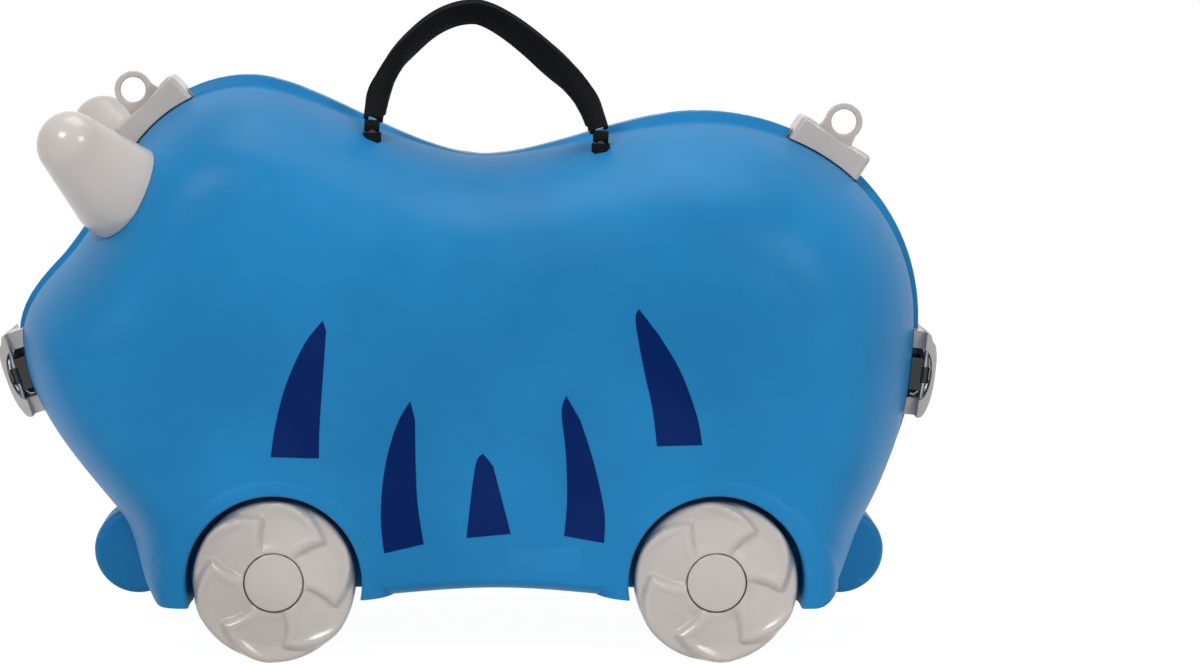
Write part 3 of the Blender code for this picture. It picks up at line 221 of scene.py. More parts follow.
# %% [markdown]
# ## Metal
# The lock barrels and the zip slider are plated, so they mirror the room and carry finger smears.
# Pins and axles are plain drawn steel: fine lines run along them, which noise stretched along one
# axis gives.


# %% Metals
def plated(name):
    """Bright plating with smears."""
    finish = Finish(name, 0.1, 1.0)
    smears = finish.noise(finish.place(), 220.0, 4.0).between(0.45, 0.75)
    finish.set("Base Color", finish.mix(smears, (0.60, 0.60, 0.62), (0.50, 0.50, 0.50)))
    finish.set("Roughness", smears * 0.16 + 0.07)
    finish.bump(smears, 0.00001)
    return finish.material


def drawn_steel(name):
    """Steel with fine lines along X."""
    finish = Finish(name, 0.35, 1.0)
    long_way = finish.add("ShaderNodeMapping", None, {0: finish.place(), 3: (60.0, 900.0, 900.0)})
    lines = finish.noise(long_way, 1.0, 3.0)
    finish.set("Base Color", finish.mix(lines, (0.42, 0.42, 0.43), (0.58, 0.58, 0.58)))
    finish.set("Roughness", lines * 0.25 + 0.25)
    finish.bump(lines, 0.00002)
    return finish.material


chrome = plated("chrome")
steel = drawn_steel("steel")

# %% [markdown]
# ## Cloth
# Webbing is a thick narrow weave. Its yarns cross in a fine zigzag, which two waves on the strap's
# own UV map give: U runs across the strap and V along it, both counted in metres. The pocket is an
# open knit, so its holes are cut by the shader's Alpha.

# %% Weaves
RIB_PITCH = 0.0013
YARN_PITCH = 0.0016
NET_PITCH = 0.0021


def woven_webbing(name):
    """Black webbing: zigzag ribs along the strap and yarns across them."""
    finish = Finish(name, 0.9, Specular_IOR_Level=0.12)
    across, along, _ = finish.axes(finish.place("UV"))
    turn = 2 * math.pi
    zigzag = (across * (turn / RIB_PITCH / 4)).sine().size() * 0.6
    rib = (across * (turn / RIB_PITCH)).sine() * 0.5 + 0.5
    yarn = (along * (turn / YARN_PITCH) + zigzag * turn).sine() * 0.5 + 0.5
    weave = rib * 0.45 + yarn * 0.55
    fuzz = finish.noise(finish.place(), 700.0, 4.0, 0.7)
    finish.set("Base Color", finish.mix(weave * 0.7 + fuzz * 0.3, (0.0020, 0.0020, 0.0024),
                                        (0.0110, 0.0110, 0.0120)))
    finish.set("Roughness", 0.95 - weave * 0.25)
    finish.bump(weave + fuzz * 0.5, 0.00035)
    return finish.material


def open_net(name, holes=True):
    """Knitted net of navy yarn; without its holes it is the cloth binding."""
    finish = Finish(name, 0.9, Sheen_Weight=0.2)
    across, along, _ = finish.axes(finish.place("UV"))
    turn = math.pi / NET_PITCH
    first = ((across + along) * turn).sine().size()
    second = ((across - along) * turn).sine().size()
    yarn = 1 - first * second
    finish.set("Base Color", finish.mix(yarn, (0.004, 0.006, 0.018), (0.016, 0.022, 0.055)))
    finish.set("Roughness", 0.95 - yarn * 0.2)
    if holes:
        finish.set("Alpha", yarn.between(0.30, 0.42))
    finish.bump(yarn, 0.0003)
    return finish.material


webbing = woven_webbing("webbing")
net = open_net("mesh_cloth")
binding = open_net("binding_tape", False)

# %% [markdown]
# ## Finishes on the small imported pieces
# Pins, axles, barrels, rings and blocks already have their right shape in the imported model, so
# they stay and only get a better material on their slots.

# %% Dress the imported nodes
FINISHES = {
    "blue_shell": blue_plastic, "off_white": white_plastic, "seal": seal_rubber,
    "webbing": webbing, "black_nylon": black_plastic, "mesh_cloth": net, "chrome": chrome,
    "steel": steel,
}
for part in frame["record"]["subparts"]:
    node = frame["nodes"][part["node"]]
    node.data.materials.clear()
    node.data.materials.append(FINISHES[part["material_slot"]])

# %% [markdown]
# ## The outline of the case
# Seen from the side, the case is one smooth closed curve through a few knots. Each knot has a
# heading, its reaches back and ahead, the width and depth of the roll from the rim to the flank,
# and the height of the rim flange. Bezier pieces join the knots, and the values ease between them.

# %% Knots and samples
KNOTS = [
    (-0.109, 0.2795, 0, 0.034, 0.032, 0.043, 0.087, 0.0050),
    (0.008, 0.240, 0, 0.036, 0.030, 0.050, 0.084, 0.0006),
    (0.115, 0.2615, 0, 0.036, 0.062, 0.054, 0.087, 0.0050),
    (0.226, 0.157, -90, 0.060, 0.046, 0.058, 0.087, 0.0032),
    (0.199, 0.061, -119, 0.026, 0.014, 0.034, 0.075, 0.0020),
    (0.168, 0.0255, 180, 0.012, 0.085, 0.0070, 0.013, 0.0012),
    (0.014, 0.0340, 180, 0.040, 0.040, 0.0070, 0.013, 0.0012),
    (-0.147, 0.0255, 180, 0.085, 0.012, 0.0070, 0.013, 0.0012),
    (-0.1735, 0.061, 129, 0.012, 0.036, 0.032, 0.075, 0.0020),
    (-0.225, 0.151, 90, 0.036, 0.017, 0.038, 0.087, 0.0030),
    (-0.203, 0.1895, 47, 0.010, 0.012, 0.046, 0.087, 0.0030),
    (-0.177, 0.231, 69, 0.012, 0.026, 0.040, 0.087, 0.0040),
]
SPACING = 0.0045
SIDE_Y = 0.095
WALL = 0.003
RIM_Y = 0.00165
FLANGE_DEPTH = 0.006
ROLL_POWER = 1.7
ROLL_STEPS = 18
CROWN = 0.0016


def ease(start, end, share):
    """A value between two others that starts and ends gently."""
    return start + (end - start) * share * share * (3 - 2 * share)


def sample_outline():
    """Even samples: point, inward way, heading, roll, depth and step."""
    rows = []
    for knot, following in zip(KNOTS, KNOTS[1:] + KNOTS[:1]):
        start, end = Vector(knot[:2]), Vector(following[:2])
        way, arrival = (Vector((math.cos(math.radians(k[2])), math.sin(math.radians(k[2]))))
                        for k in (knot, following))
        count = max(3, round((end - start).length / SPACING))
        points = interpolate_bezier(start, start + way * knot[4], end - arrival * following[3],
                                    end, count + 1)
        for i in range(count):
            rows.append([points[i]] + [ease(knot[k], following[k], i / count) for k in (5, 6, 7)])
    samples = []
    for i, (point, roll, depth, step) in enumerate(rows):
        along = (rows[(i + 1) % len(rows)][0] - rows[i - 1][0]).normalized()
        samples.append((point, Vector((along.y, -along.x)), math.atan2(along.y, along.x),
                        roll, depth, step))
    return samples


OUTLINE = sample_outline()
print("outline samples:", len(OUTLINE))

# %% [markdown]
# ## Rings of points
# The half shell is a stack of rings, each the outline moved inwards and off the seam. Faces bridge
# each ring to the next, and one flat face closes the first ring and another the last. Where the
# outline bends inwards, a wide roll would fold over itself, so it is made narrower there.


# %% Rings and solids through them
def unfolded(rows):
    """Narrows each roll to where the inset lines would cross, then evens it along the outline."""
    rim = KDTree(len(rows))
    for number, row in enumerate(rows):
        rim.insert((row[0].x, 0.0, row[0].y), number)
    rim.balance()
    widths = []
    for point, inward, _, roll, _, step in rows:
        width = 0.004
        while width < roll:
            spot = point + inward * (width + 0.002)
            _, _, nearest = rim.find((spot.x, 0.0, spot.y))
            if nearest < (width + 0.002) * 0.90:
                break
            width += 0.002
        widths.append(min(roll, width))
    for _ in range(12):
        widths = [min(own, (before + 2 * own + after) / 4) for before, own, after in zip(
            widths[-1:] + widths[:-1], widths, widths[1:] + widths[:1])]
    return [row[:3] + (width,) + row[4:] for row, width in zip(rows, widths)]


OUTLINE = unfolded(OUTLINE)
print("roll widths:", round(min(row[3] for row in OUTLINE) * 1000), "to",
      round(max(row[3] for row in OUTLINE) * 1000), "mm")


def ring_at(side, inset_depth):
    """One ring: `inset_depth` gives the inset and the depth at each sample of the outline."""
    ring = []
    for sample in OUTLINE:
        inset, depth = inset_depth(sample)
        point = sample[0] + sample[1] * inset
        ring.append(Vector((point.x, side * depth, point.y)))
    return ring


def rolled(sample, share, inner, grow):
    """The inset and the depth of one point of the roll from the rim to the flank."""
    point, _, _, roll, deep, step = sample
    turn = share * math.pi / 2
    wall = WALL if inner else 0.0
    across = max(0.0, math.cos(turn)) ** (2 / ROLL_POWER)
    along = math.sin(turn) ** (2 / ROLL_POWER)
    return (step + roll - (roll - wall) * across - grow,
            SIDE_Y - deep + (deep - wall + grow) * along)


def stack(rings):
    """A closed bmesh through rings of as many points."""
    bm = bmesh.new()
    edges = []
    for ring in rings:
        verts = [bm.verts.new(point) for point in ring]
        edges.append([bm.edges.new(pair) for pair in zip(verts, verts[1:] + verts[:1])])
    for lower, upper in zip(edges, edges[1:]):
        bmesh.ops.bridge_loops(bm, edges=lower + upper)
    for ends in (edges[0], edges[-1]):
        bmesh.ops.edgenet_fill(bm, edges=ends)
    bmesh.ops.triangulate(bm, faces=[face for face in bm.faces if len(face.verts) > 4])
    bmesh.ops.recalc_face_normals(bm, faces=bm.faces)
    return bm


# %% Objects from meshes, and the tools that cut them
tools = bpy.data.collections.new("tools")
bpy.context.scene.collection.children.link(tools)


def piece(name, bm, material=None):
    """The bmesh as a shown object, or as a cutting tool when it has no material."""
    mesh = bpy.data.meshes.new(name)
    bm.to_mesh(mesh)
    bm.free()
    made = bpy.data.objects.new(name, mesh)
    if material:
        mesh.materials.append(material)
        bpy.context.scene.collection.objects.link(made)
    else:
        tools.objects.link(made)
    return made


def cut(item, operation, *others):
    """Cuts or joins with other objects and keeps the result as the piece's own mesh."""
    for other in others:
        step = item.modifiers.new("cut", "BOOLEAN")
        step.operation = operation
        step.solver = "MANIFOLD"
        step.object = other
    settle(item)
    return item


def settle(item):
    """Applies the modifiers, so that the mesh holds what they make, in its own finish."""
    finish = item.data.materials[0] if item.data.materials else None
    bpy.context.view_layer.update()
    ready = item.evaluated_get(bpy.context.evaluated_depsgraph_get())
    mesh = bpy.data.meshes.new_from_object(ready)
    item.modifiers.clear()
    item.data = mesh
    mesh.materials.clear()
    if finish:
        mesh.materials.append(finish)
    mesh.polygons.foreach_set("material_index", [0] * len(mesh.polygons))


def smooth(item, angle=32):
    """Smooth shading with the sharp edges kept."""
    item.data.shade_smooth()
    item.data.set_sharp_from_angle(angle=math.radians(angle))
    even = item.modifiers.new("even shading", "WEIGHTED_NORMAL")
    even.keep_sharp = True
    even.weight = 60
    return item


def show(item, body, slot, *nodes):
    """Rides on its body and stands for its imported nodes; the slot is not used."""
    smooth(item)
    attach(item, body)
    if nodes:
        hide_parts(*nodes)
    print(item.name, len(item.data.polygons), "faces on", body)
    return item

# %% [markdown]
# ## Half shells
# A solid of the outside loses a solid of the room inside, the two wheel wells and small holes, as
# a moulding tool would leave it. The flank isn't quite flat: it crowns by a millimetre and a half,
# so the flat cap is cut into a grid, and its points move out along a soft dome. The shoulder round
# it is softened as well, because the real case shows no edge there.

# %% Places of wheels, hinges and clips
WHEEL_R = 0.0395
WHEELS = {"front": -0.0935, "rear": 0.1195}
WELL_R = WHEEL_R + 0.003
WHEEL_FACE_Y = 0.093
WHEEL_BACK_Y = 0.065
WELL_FLOOR_Y = 0.056
HINGE_Z = 0.0235
LOBES = {"front": -0.166, "rear": 0.187}
LOBE_R = 0.022
LOBE_Z = 0.0412
LOBE_DEPTH = 0.016
SIDES = {"near": -1, "far": 1}
OUTSIDE_Y = 0.130


def outwards(x, z, side):
    """A frame on the seam whose Z axis points out of one half."""
    return Matrix.Translation((x, 0.0, z)) @ Matrix.Rotation(-side * math.pi / 2, 4, "X")


def lathe(profile, frame, segments=96):
    """A closed turned solid: (radius, height) pairs from the axis round to the axis again."""
    bm = bmesh.new()
    verts = [bm.verts.new((radius, 0.0, height)) for radius, height in profile]
    edges = [bm.edges.new(pair) for pair in zip(verts, verts[1:])]
    if profile[0][0] > 0:
        edges.append(bm.edges.new((verts[-1], verts[0])))
    bmesh.ops.spin(bm, geom=verts + edges, axis=(0, 0, 1), cent=(0, 0, 0), angle=2 * math.pi,
                   steps=segments, use_merge=True)
    bmesh.ops.remove_doubles(bm, verts=bm.verts, dist=0.000005)
    bmesh.ops.recalc_face_normals(bm, faces=bm.faces)
    bmesh.ops.transform(bm, matrix=frame, verts=bm.verts)
    return bm


def bar(radius, start, end, segments=24, taper=1.0):
    """A round bar between two points."""
    start, end = Vector(start), Vector(end)
    bm = bmesh.new()
    bmesh.ops.create_cone(bm, cap_ends=True, segments=segments, radius1=radius,
                          radius2=radius * taper, depth=(end - start).length)
    turn = Vector((0, 0, 1)).rotation_difference(end - start).to_matrix().to_4x4()
    bmesh.ops.transform(bm, matrix=Matrix.Translation((start + end) / 2) @ turn, verts=bm.verts)
    return bm


def block(low, high, frame=None, bevel=0.0, segments=3):
    """A box between two corners, with its edges rounded."""
    bm = bmesh.new()
    bmesh.ops.create_cube(bm, size=1.0)
    low, high = Vector(low), Vector(high)
    bmesh.ops.scale(bm, vec=high - low, verts=bm.verts)
    bmesh.ops.translate(bm, vec=(low + high) / 2, verts=bm.verts)
    if bevel:
        bmesh.ops.bevel(bm, geom=bm.edges, offset=bevel, offset_type="OFFSET", segments=segments,
                        profile=0.5, affect="EDGES", material=-1)
    if frame:
        bmesh.ops.transform(bm, matrix=frame, verts=bm.verts)
    return bm


def slab(points, push, frame=None, bevel=0.0, segments=3):
    """A solid with a flat outline of 3-D points, pushed along a vector, its rims rounded."""
    bm = bmesh.new()
    ring = [bm.verts.new(point) for point in points]
    edges = [bm.edges.new(pair) for pair in zip(ring, ring[1:] + ring[:1])]
    bmesh.ops.edgenet_fill(bm, edges=edges)
    grown = bmesh.ops.extrude_face_region(bm, geom=list(bm.faces))["geom"]
    bmesh.ops.translate(bm, vec=push, verts=[v for v in grown if isinstance(v, bmesh.types.BMVert)])
    bmesh.ops.recalc_face_normals(bm, faces=bm.faces)
    if bevel:
        rims = [edge for edge in bm.edges if edge.calc_face_angle() > math.radians(40)]
        bmesh.ops.bevel(bm, geom=rims, offset=bevel, offset_type="OFFSET", segments=segments,
                        profile=0.5, affect="EDGES", clamp_overlap=True, material=-1)
    if frame:
        bmesh.ops.transform(bm, matrix=frame, verts=bm.verts)
    return bm


# %% The outside of one half
CROWN_MIDDLE = (0.000, 0.150)
CROWN_REACH = (0.170, 0.078)


def crown(x, z):
    """How far the flank stands out at a point: nothing at its edges."""
    share = 1 - ((x - CROWN_MIDDLE[0]) / CROWN_REACH[0]) ** 2 - (
        (z - CROWN_MIDDLE[1]) / CROWN_REACH[1]) ** 2
    return CROWN * share * share if share > 0 else 0.0


SOFT_FROM = 0.022
SOFT_FULL = 0.070
SOFT_REACH = 0.032
SOFT_MOST = 0.0120
SOFT_SHARE = 0.50
RAYS_FROM_Y = 0.2
FLANK_PITCH = 0.006
FLANK_X = (-0.18, 0.18)
FLANK_Z = (0.07, 0.235)

rim_points = KDTree(len(OUTLINE))
for number, sample in enumerate(OUTLINE):
    rim_points.insert((sample[0].x, 0.0, sample[0].y), number)
rim_points.balance()


def blown_soft(bm, side):
    """Softens the shoulder where the rolls meet the flank: each point's depth is averaged."""
    tree = BVHTree.FromBMesh(bm)
    inwards = Vector((0, -side, 0))
    depths = {}
    for vert in bm.verts:
        depth = abs(vert.co.y)
        if depth < SOFT_FROM:
            continue
        reach = SOFT_REACH * ease(0.0, 1.0, min(1.0, (depth - SOFT_FROM) / (SOFT_FULL - SOFT_FROM)))
        _, _, from_rim = rim_points.find((vert.co.x, 0.0, vert.co.z))
        reach = min(reach, from_rim * SOFT_SHARE)
        found = [depth]
        for ring, turns in ((0.35, 4), (0.6, 5), (0.8, 6), (1.0, 7)):
            for i in range(turns):
                turn = math.pi * i / turns
                step = Vector((math.cos(turn), 0, math.sin(turn))) * reach * ring
                start = Vector((vert.co.x, side * RAYS_FROM_Y, vert.co.z))
                hits = [tree.ray_cast(start + way, inwards)[0] for way in (step, -step)]
                if all(hits):
                    found += [abs(hit.y) for hit in hits]
        depths[vert] = max(sum(found) / len(found), depth - SOFT_MOST)
    for vert, depth in depths.items():
        vert.co.y = side * depth


def outside(side, grow=0.0):
    """The half body as a solid, rim flange and crowned flank included."""
    rings = [ring_at(side, lambda s: (0.0006 - grow, RIM_Y)),
             ring_at(side, lambda s: (0.0001 - grow, RIM_Y + 0.0004)),
             ring_at(side, lambda s: (-grow, RIM_Y + 0.0009)),
             ring_at(side, lambda s: (-grow, FLANGE_DEPTH - 0.0012)),
             ring_at(side, lambda s: (s[5] * 0.2 - grow, FLANGE_DEPTH - 0.0003)),
             ring_at(side, lambda s: (s[5] * 0.8 - grow, FLANGE_DEPTH + 0.0006)),
             ring_at(side, lambda s: (s[5] - grow, FLANGE_DEPTH + 0.0014))]
    for i in range(ROLL_STEPS + 1):
        rings.append(ring_at(side, lambda s: rolled(s, i / ROLL_STEPS, False, grow)))
    bm = stack(rings)
    flank = [f for f in bm.faces if abs(f.normal.y) > 0.999 and abs(
        f.calc_center_median().y) > SIDE_Y + grow - 0.0001]
    for axis, (low, high) in (((1, 0, 0), FLANK_X), ((0, 0, 1), FLANK_Z)):
        for i in range(int((high - low) / FLANK_PITCH)):
            middle = Vector(axis) * (low + FLANK_PITCH * i)
            geom = flank + list({e for f in flank for e in f.edges}) + list(
                {v for f in flank for v in f.verts})
            made = bmesh.ops.bisect_plane(bm, geom=geom, plane_co=middle, plane_no=axis)
            flank = [f for f in made["geom"] if isinstance(f, bmesh.types.BMFace)]
    bmesh.ops.triangulate(bm, faces=[face for face in bm.faces if len(face.verts) > 4])
    blown_soft(bm, side)
    for vert in bm.verts:
        if abs(vert.co.y) > 0.060:
            vert.co.y += side * crown(vert.co.x, vert.co.z)
    return bm


# %% Room, wells, fender lips and hinge lobes
def room(side, grow=0.0):
    """The space inside the wall of one half."""
    rings = [ring_at(side, lambda s: (s[5] + WALL - grow, -WALL)),
             ring_at(side, lambda s: (s[5] + WALL - grow, FLANGE_DEPTH))]
    for i in range(ROLL_STEPS + 1):
        rings.append(ring_at(side, lambda s: rolled(s, i / ROLL_STEPS, True, grow)))
    bm = stack(rings)
    blown_soft(bm, side)
    return bm


def well(x, side):
    """The wheel well with its rounded mouth and the boss in its middle."""
    return lathe([(0.0, OUTSIDE_Y), (WELL_R + 0.0022, OUTSIDE_Y), (WELL_R + 0.0022, SIDE_Y + 0.0019),
                  (WELL_R + 0.0010, SIDE_Y + 0.0012), (WELL_R + 0.0003, SIDE_Y + 0.0004),
                  (WELL_R, SIDE_Y - 0.0006), (WELL_R, WELL_FLOOR_Y + 0.001),
                  (WELL_R - 0.001, WELL_FLOOR_Y), (0.0105, WELL_FLOOR_Y), (0.0082, WELL_FLOOR_Y + 0.002),
                  (0.008, WHEEL_BACK_Y - 0.0003), (0.0, WHEEL_BACK_Y - 0.0003)],
                 outwards(x, WHEEL_R, side))


def well_wall(x, side):
    """The well with its wall round it, which the room leaves free."""
    return lathe([(0.0, OUTSIDE_Y), (WELL_R + WALL, OUTSIDE_Y), (WELL_R + WALL, WELL_FLOOR_Y),
                  (WELL_R + WALL - 0.003, WELL_FLOOR_Y - WALL), (0.0, WELL_FLOOR_Y - WALL)],
                 outwards(x, WHEEL_R, side))


def fender(x, side):
    """The raised lip round an arch, with a soft slope down to the flank."""
    top = SIDE_Y + 0.0012
    profile = [(0.0, top), (WELL_R + 0.0022, top)]
    profile += [(WELL_R + 0.0022 + reach, top - fall) for reach, fall in (
        (0.0018, 0.0001), (0.0036, 0.0004), (0.0054, 0.0010), (0.0072, 0.0019), (0.0092, 0.0033),
        (0.0112, 0.0055), (0.0130, 0.0090), (0.0150, 0.0160), (0.0160, 0.0400))]
    return lathe(profile + [(0.0, top - 0.040)],
                 outwards(x, WHEEL_R, side), 120)


def lobe(end, side):
    """A flat round hinge housing with rounded rims, outside the outline only."""
    x = LOBES[end]
    disc = piece(f"lobe_{end}", lathe([
        (0.0, LOBE_DEPTH), (LOBE_R - 0.004, LOBE_DEPTH), (LOBE_R - 0.0018, LOBE_DEPTH - 0.0006),
        (LOBE_R - 0.0005, LOBE_DEPTH - 0.0019), (LOBE_R, LOBE_DEPTH - 0.004), (LOBE_R, 0.0018),
        (LOBE_R - 0.0006, 0.0005), (LOBE_R - 0.002, 0.00016), (0.0, 0.00016)],
        outwards(x, LOBE_Z, side), 72))
    inside = piece("inside_lobe", stack([
        ring_at(side, lambda s: (s[5] + WALL / 2, -WALL)),
        ring_at(side, lambda s: (s[5] + WALL / 2, LOBE_DEPTH + WALL))]))
    groove = piece("seal_groove", stack([ring_at(side, lambda s: (-0.0010, -WALL)),
                                         ring_at(side, lambda s: (-0.0010, 0.00225))]))
    reach, angle = 0.014, math.radians(52)
    fall, spread = reach * math.cos(angle), reach * math.sin(angle)
    peak = HINGE_Z + 0.0006
    bm = slab([(x - 0.025, y, z) for y, z in (
        (0.0, peak), (spread, peak - fall), (-spread, peak - fall))], (0.05, 0, 0))
    notch = piece("notch", bm)
    knuckles = piece("knuckle_room", bar(0.0044, (x - 0.0085, 0, HINGE_Z), (x + 0.0085, 0, HINGE_Z)))
    leaf = piece("leaf_room", bar(LOBE_R - 0.0042, (x, 0, LOBE_Z), (x, side * 0.0029, LOBE_Z), 48))
    beyond = piece("beyond", stack([ring_at(side, lambda s: (-0.0006, -WALL)),
                                    ring_at(side, lambda s: (-0.0006, LOBE_DEPTH))]))
    cut(leaf, "DIFFERENCE", beyond)
    return cut(disc, "DIFFERENCE", inside, groove, notch, knuckles, leaf)


# %% Seats on the outline
def outline_at(value, axis, test):
    """Where the outline passes an x or a z, on the stretch that passes the test."""
    for sample, following in zip(OUTLINE, OUTLINE[1:] + OUTLINE[:1]):
        low, high = sample[0][axis], following[0][axis]
        if (low - value) * (high - value) <= 0 and low != high and test(sample[0]):
            share = (value - low) / (high - low)
            return sample[0].lerp(following[0], share), sample[2]
    raise ValueError("the outline has no such place")


def seat(value, axis, test):
    """A frame on the seam: X along the outline, Y across the seam, Z pointing out."""
    point, heading = outline_at(value, axis, test)
    return Matrix.Translation((point.x, 0, point.y)) @ Matrix.Rotation(-heading, 4, "Y")


CLIP_SEATS = {"front": seat(-0.1565, 0, lambda p: p.y > 0.24),
              "rear": seat(0.1795, 0, lambda p: p.y > 0.122)}
LATCH_SEATS = {"front": seat(0.1315, 1, lambda p: p.x < 0),
               "rear": seat(0.1315, 1, lambda p: p.x > 0)}


def clip_gap(end):
    """The gap in the rim through which a tow clip passes."""
    gap = piece("clip_gap", block((-0.0208, -0.0085, -0.008), (0.0208, 0.0085, 0.008),
                                  CLIP_SEATS[end]))
    kept = piece("kept", stack([ring_at(-1, lambda s: (s[5] + 0.0004, 0.015)),
                                ring_at(1, lambda s: (s[5] + 0.0004, 0.015))]))
    return cut(gap, "DIFFERENCE", kept)


# %% Cut one half and mirror it
HANDLE_Y = 0.036
HANDLE_ENDS = (Vector((-0.0470, -HANDLE_Y, 0.2561)), Vector((0.0650, -HANDLE_Y, 0.2508)))
HORN_ROOT = Vector((-0.1685, -0.050, 0.2235))
HORN_TIP = Vector((-0.190, -0.075, 0.249))
SHANK_R = 0.0063


def near_half_shell():
    """The near shell from its solids and cutters."""
    side = -1
    shell = piece("shell_near_skin", outside(side), blue_plastic)
    skirt = piece("skirt", stack([ring_at(-1, lambda s: (s[5] + 0.0010, OUTSIDE_Y)),
                                  ring_at(1, lambda s: (s[5] + 0.0010, OUTSIDE_Y))]))
    for x in WHEELS.values():
        cut(shell, "UNION", cut(piece("fender", fender(x, side)), "INTERSECT", skirt))
    inside = piece("room", room(side))
    cut(inside, "DIFFERENCE", *[piece("liner", well_wall(x, side)) for x in WHEELS.values()])
    cut(shell, "DIFFERENCE", inside)
    cut(shell, "DIFFERENCE", *[piece("well", well(x, side)) for x in WHEELS.values()])
    cut(shell, "DIFFERENCE", *[clip_gap(end) for end in CLIP_SEATS])
    holes = [piece("bore", bar(SHANK_R, HORN_ROOT, HORN_ROOT + (HORN_ROOT - HORN_TIP) * 0.6))]
    holes += [piece("bore", bar(0.0043, (x, side * 0.04, WHEEL_R), (x, side * 0.075, WHEEL_R)))
              for x in WHEELS.values()]
    holes += [piece("slot", block(
        end - Vector((0.0034, 0.0045, 0.020)), end + Vector((0.0034, 0.0045, 0.002)), None, 0.001))
        for end in HANDLE_ENDS]
    cut(shell, "DIFFERENCE", *holes)
    cut(shell, "UNION", *[lobe(end, side) for end in LOBES])
    return shell


def across_seam(item):
    """The piece's mesh on the other side of the seam."""
    bm = bmesh.new()
    bm.from_mesh(item.data)
    bmesh.ops.scale(bm, vec=(1, -1, 1), verts=bm.verts)
    bmesh.ops.reverse_faces(bm, faces=bm.faces)
    return bm


def mirrored(item, name):
    """The same piece on the far side of the seam."""
    return piece(name, across_seam(item), item.data.materials[0])


shell_near = near_half_shell()
shell_far = mirrored(shell_near, "shell_far_skin")
show(shell_near, "near_half", "blue_shell", "shell_near")
show(shell_far, "far_half", "blue_shell", "shell_far")

# %% [markdown]
# ## Wheels
# A wheel is one moulding with six fan blades. Each blade starts at a rounded step, bends at a
# corner and sweeps back to the rim, and its plate sinks towards the foot of the next step. The
# turned blank has a fine net of rings, and `blade_height` sinks every point of its face.

# %% The fan blades
BLADES = 6
BLADE_RELIEF = 0.0042
CORNER = 0.79
LEAN = math.radians(15)
SWEEP = math.radians(38)
PHASES = {"front": math.radians(101), "rear": math.radians(115)}
HUB_R = 0.0143
RECESS_R = HUB_R + 0.0003
HUB_FLOOR_Y = WHEEL_FACE_Y - 0.0072
STEP_FOOT = 0.0028
STEP_HEAD = 0.0011
STEP_RIM = 0.86
RIDGE = 0.00060
RIDGE_BACK = 0.0024
RIDGE_SPREAD = 0.0017


def step_angle(radius):
    """How far a blade's step has turned at a radius, from its corner."""
    share = radius / WHEEL_R
    if share < CORNER:
        return LEAN * (CORNER - share) / (CORNER - RECESS_R / WHEEL_R)
    return SWEEP * (share - CORNER) / (1 - CORNER)


def step_line(turned):
    """Points of a step, turned about the wheel's axis."""
    points = []
    for i in range(61):
        radius = RECESS_R * 0.9 + (WHEEL_R * 1.02 - RECESS_R * 0.9) * i / 60
        angle = step_angle(radius) + turned
        points.append((radius * math.cos(angle), radius * math.sin(angle)))
    return points


PITCH = 2 * math.pi / BLADES
THIS_STEP, NEXT_STEP = step_line(0.0), step_line(PITCH)
found_heights = {}


def blade_height(radius, angle, phase):
    """How high the face stands at a point, from 0 at the foot of a step to 1 at its head."""
    past = (angle - step_angle(radius) - phase) % PITCH
    key = (round(radius, 6), round(past, 4))
    if key in found_heights:
        return found_heights[key]
    turn = past + step_angle(radius)
    spot = (radius * math.cos(turn), radius * math.sin(turn))
    ahead = min(math.dist(spot, point) for point in THIS_STEP)
    behind = min(math.dist(spot, point) for point in NEXT_STEP)
    high = 1 - past / PITCH * 0.92
    if ahead < STEP_HEAD:
        high = ease(STEP_RIM, high, ahead / STEP_HEAD)
    high += RIDGE / BLADE_RELIEF * math.exp(-((ahead - RIDGE_BACK) / RIDGE_SPREAD) ** 2)
    if behind < STEP_FOOT:
        high = ease(high, STEP_RIM, 1 - behind / STEP_FOOT)
    found_heights[key] = high
    return high


# %% Make the four wheels and their caps
def wheel_blank(frame):
    """The turned blank of a wheel, with close rings on its face."""
    profile = [(0.0, WHEEL_BACK_Y + 0.0045), (0.0085, WHEEL_BACK_Y + 0.0045),
               (0.0085, WHEEL_BACK_Y), (WHEEL_R - 0.0022, WHEEL_BACK_Y),
               (WHEEL_R - 0.0008, WHEEL_BACK_Y + 0.0006), (WHEEL_R, WHEEL_BACK_Y + 0.0022)]
    for i in range(1, 12):
        profile.append((WHEEL_R, WHEEL_BACK_Y + 0.0022 + 0.0198 * i / 12))
    for i in range(9):
        turn = math.pi / 2 * i / 8
        profile.append((WHEEL_R - 0.0032 * (1 - math.cos(turn)),
                        WHEEL_FACE_Y - 0.0032 * (1 - math.sin(turn))))
    rings = 34
    inner, outer = RECESS_R + 0.0007, WHEEL_R - 0.0032
    for i in range(1, rings + 1):
        profile.append((outer + (inner - outer) * i / rings, WHEEL_FACE_Y))
    profile += [(RECESS_R + 0.0002, WHEEL_FACE_Y - 0.0002), (RECESS_R, WHEEL_FACE_Y - 0.0007),
                (RECESS_R, HUB_FLOOR_Y), (0.0, HUB_FLOOR_Y)]
    return lathe(profile, frame, 360)


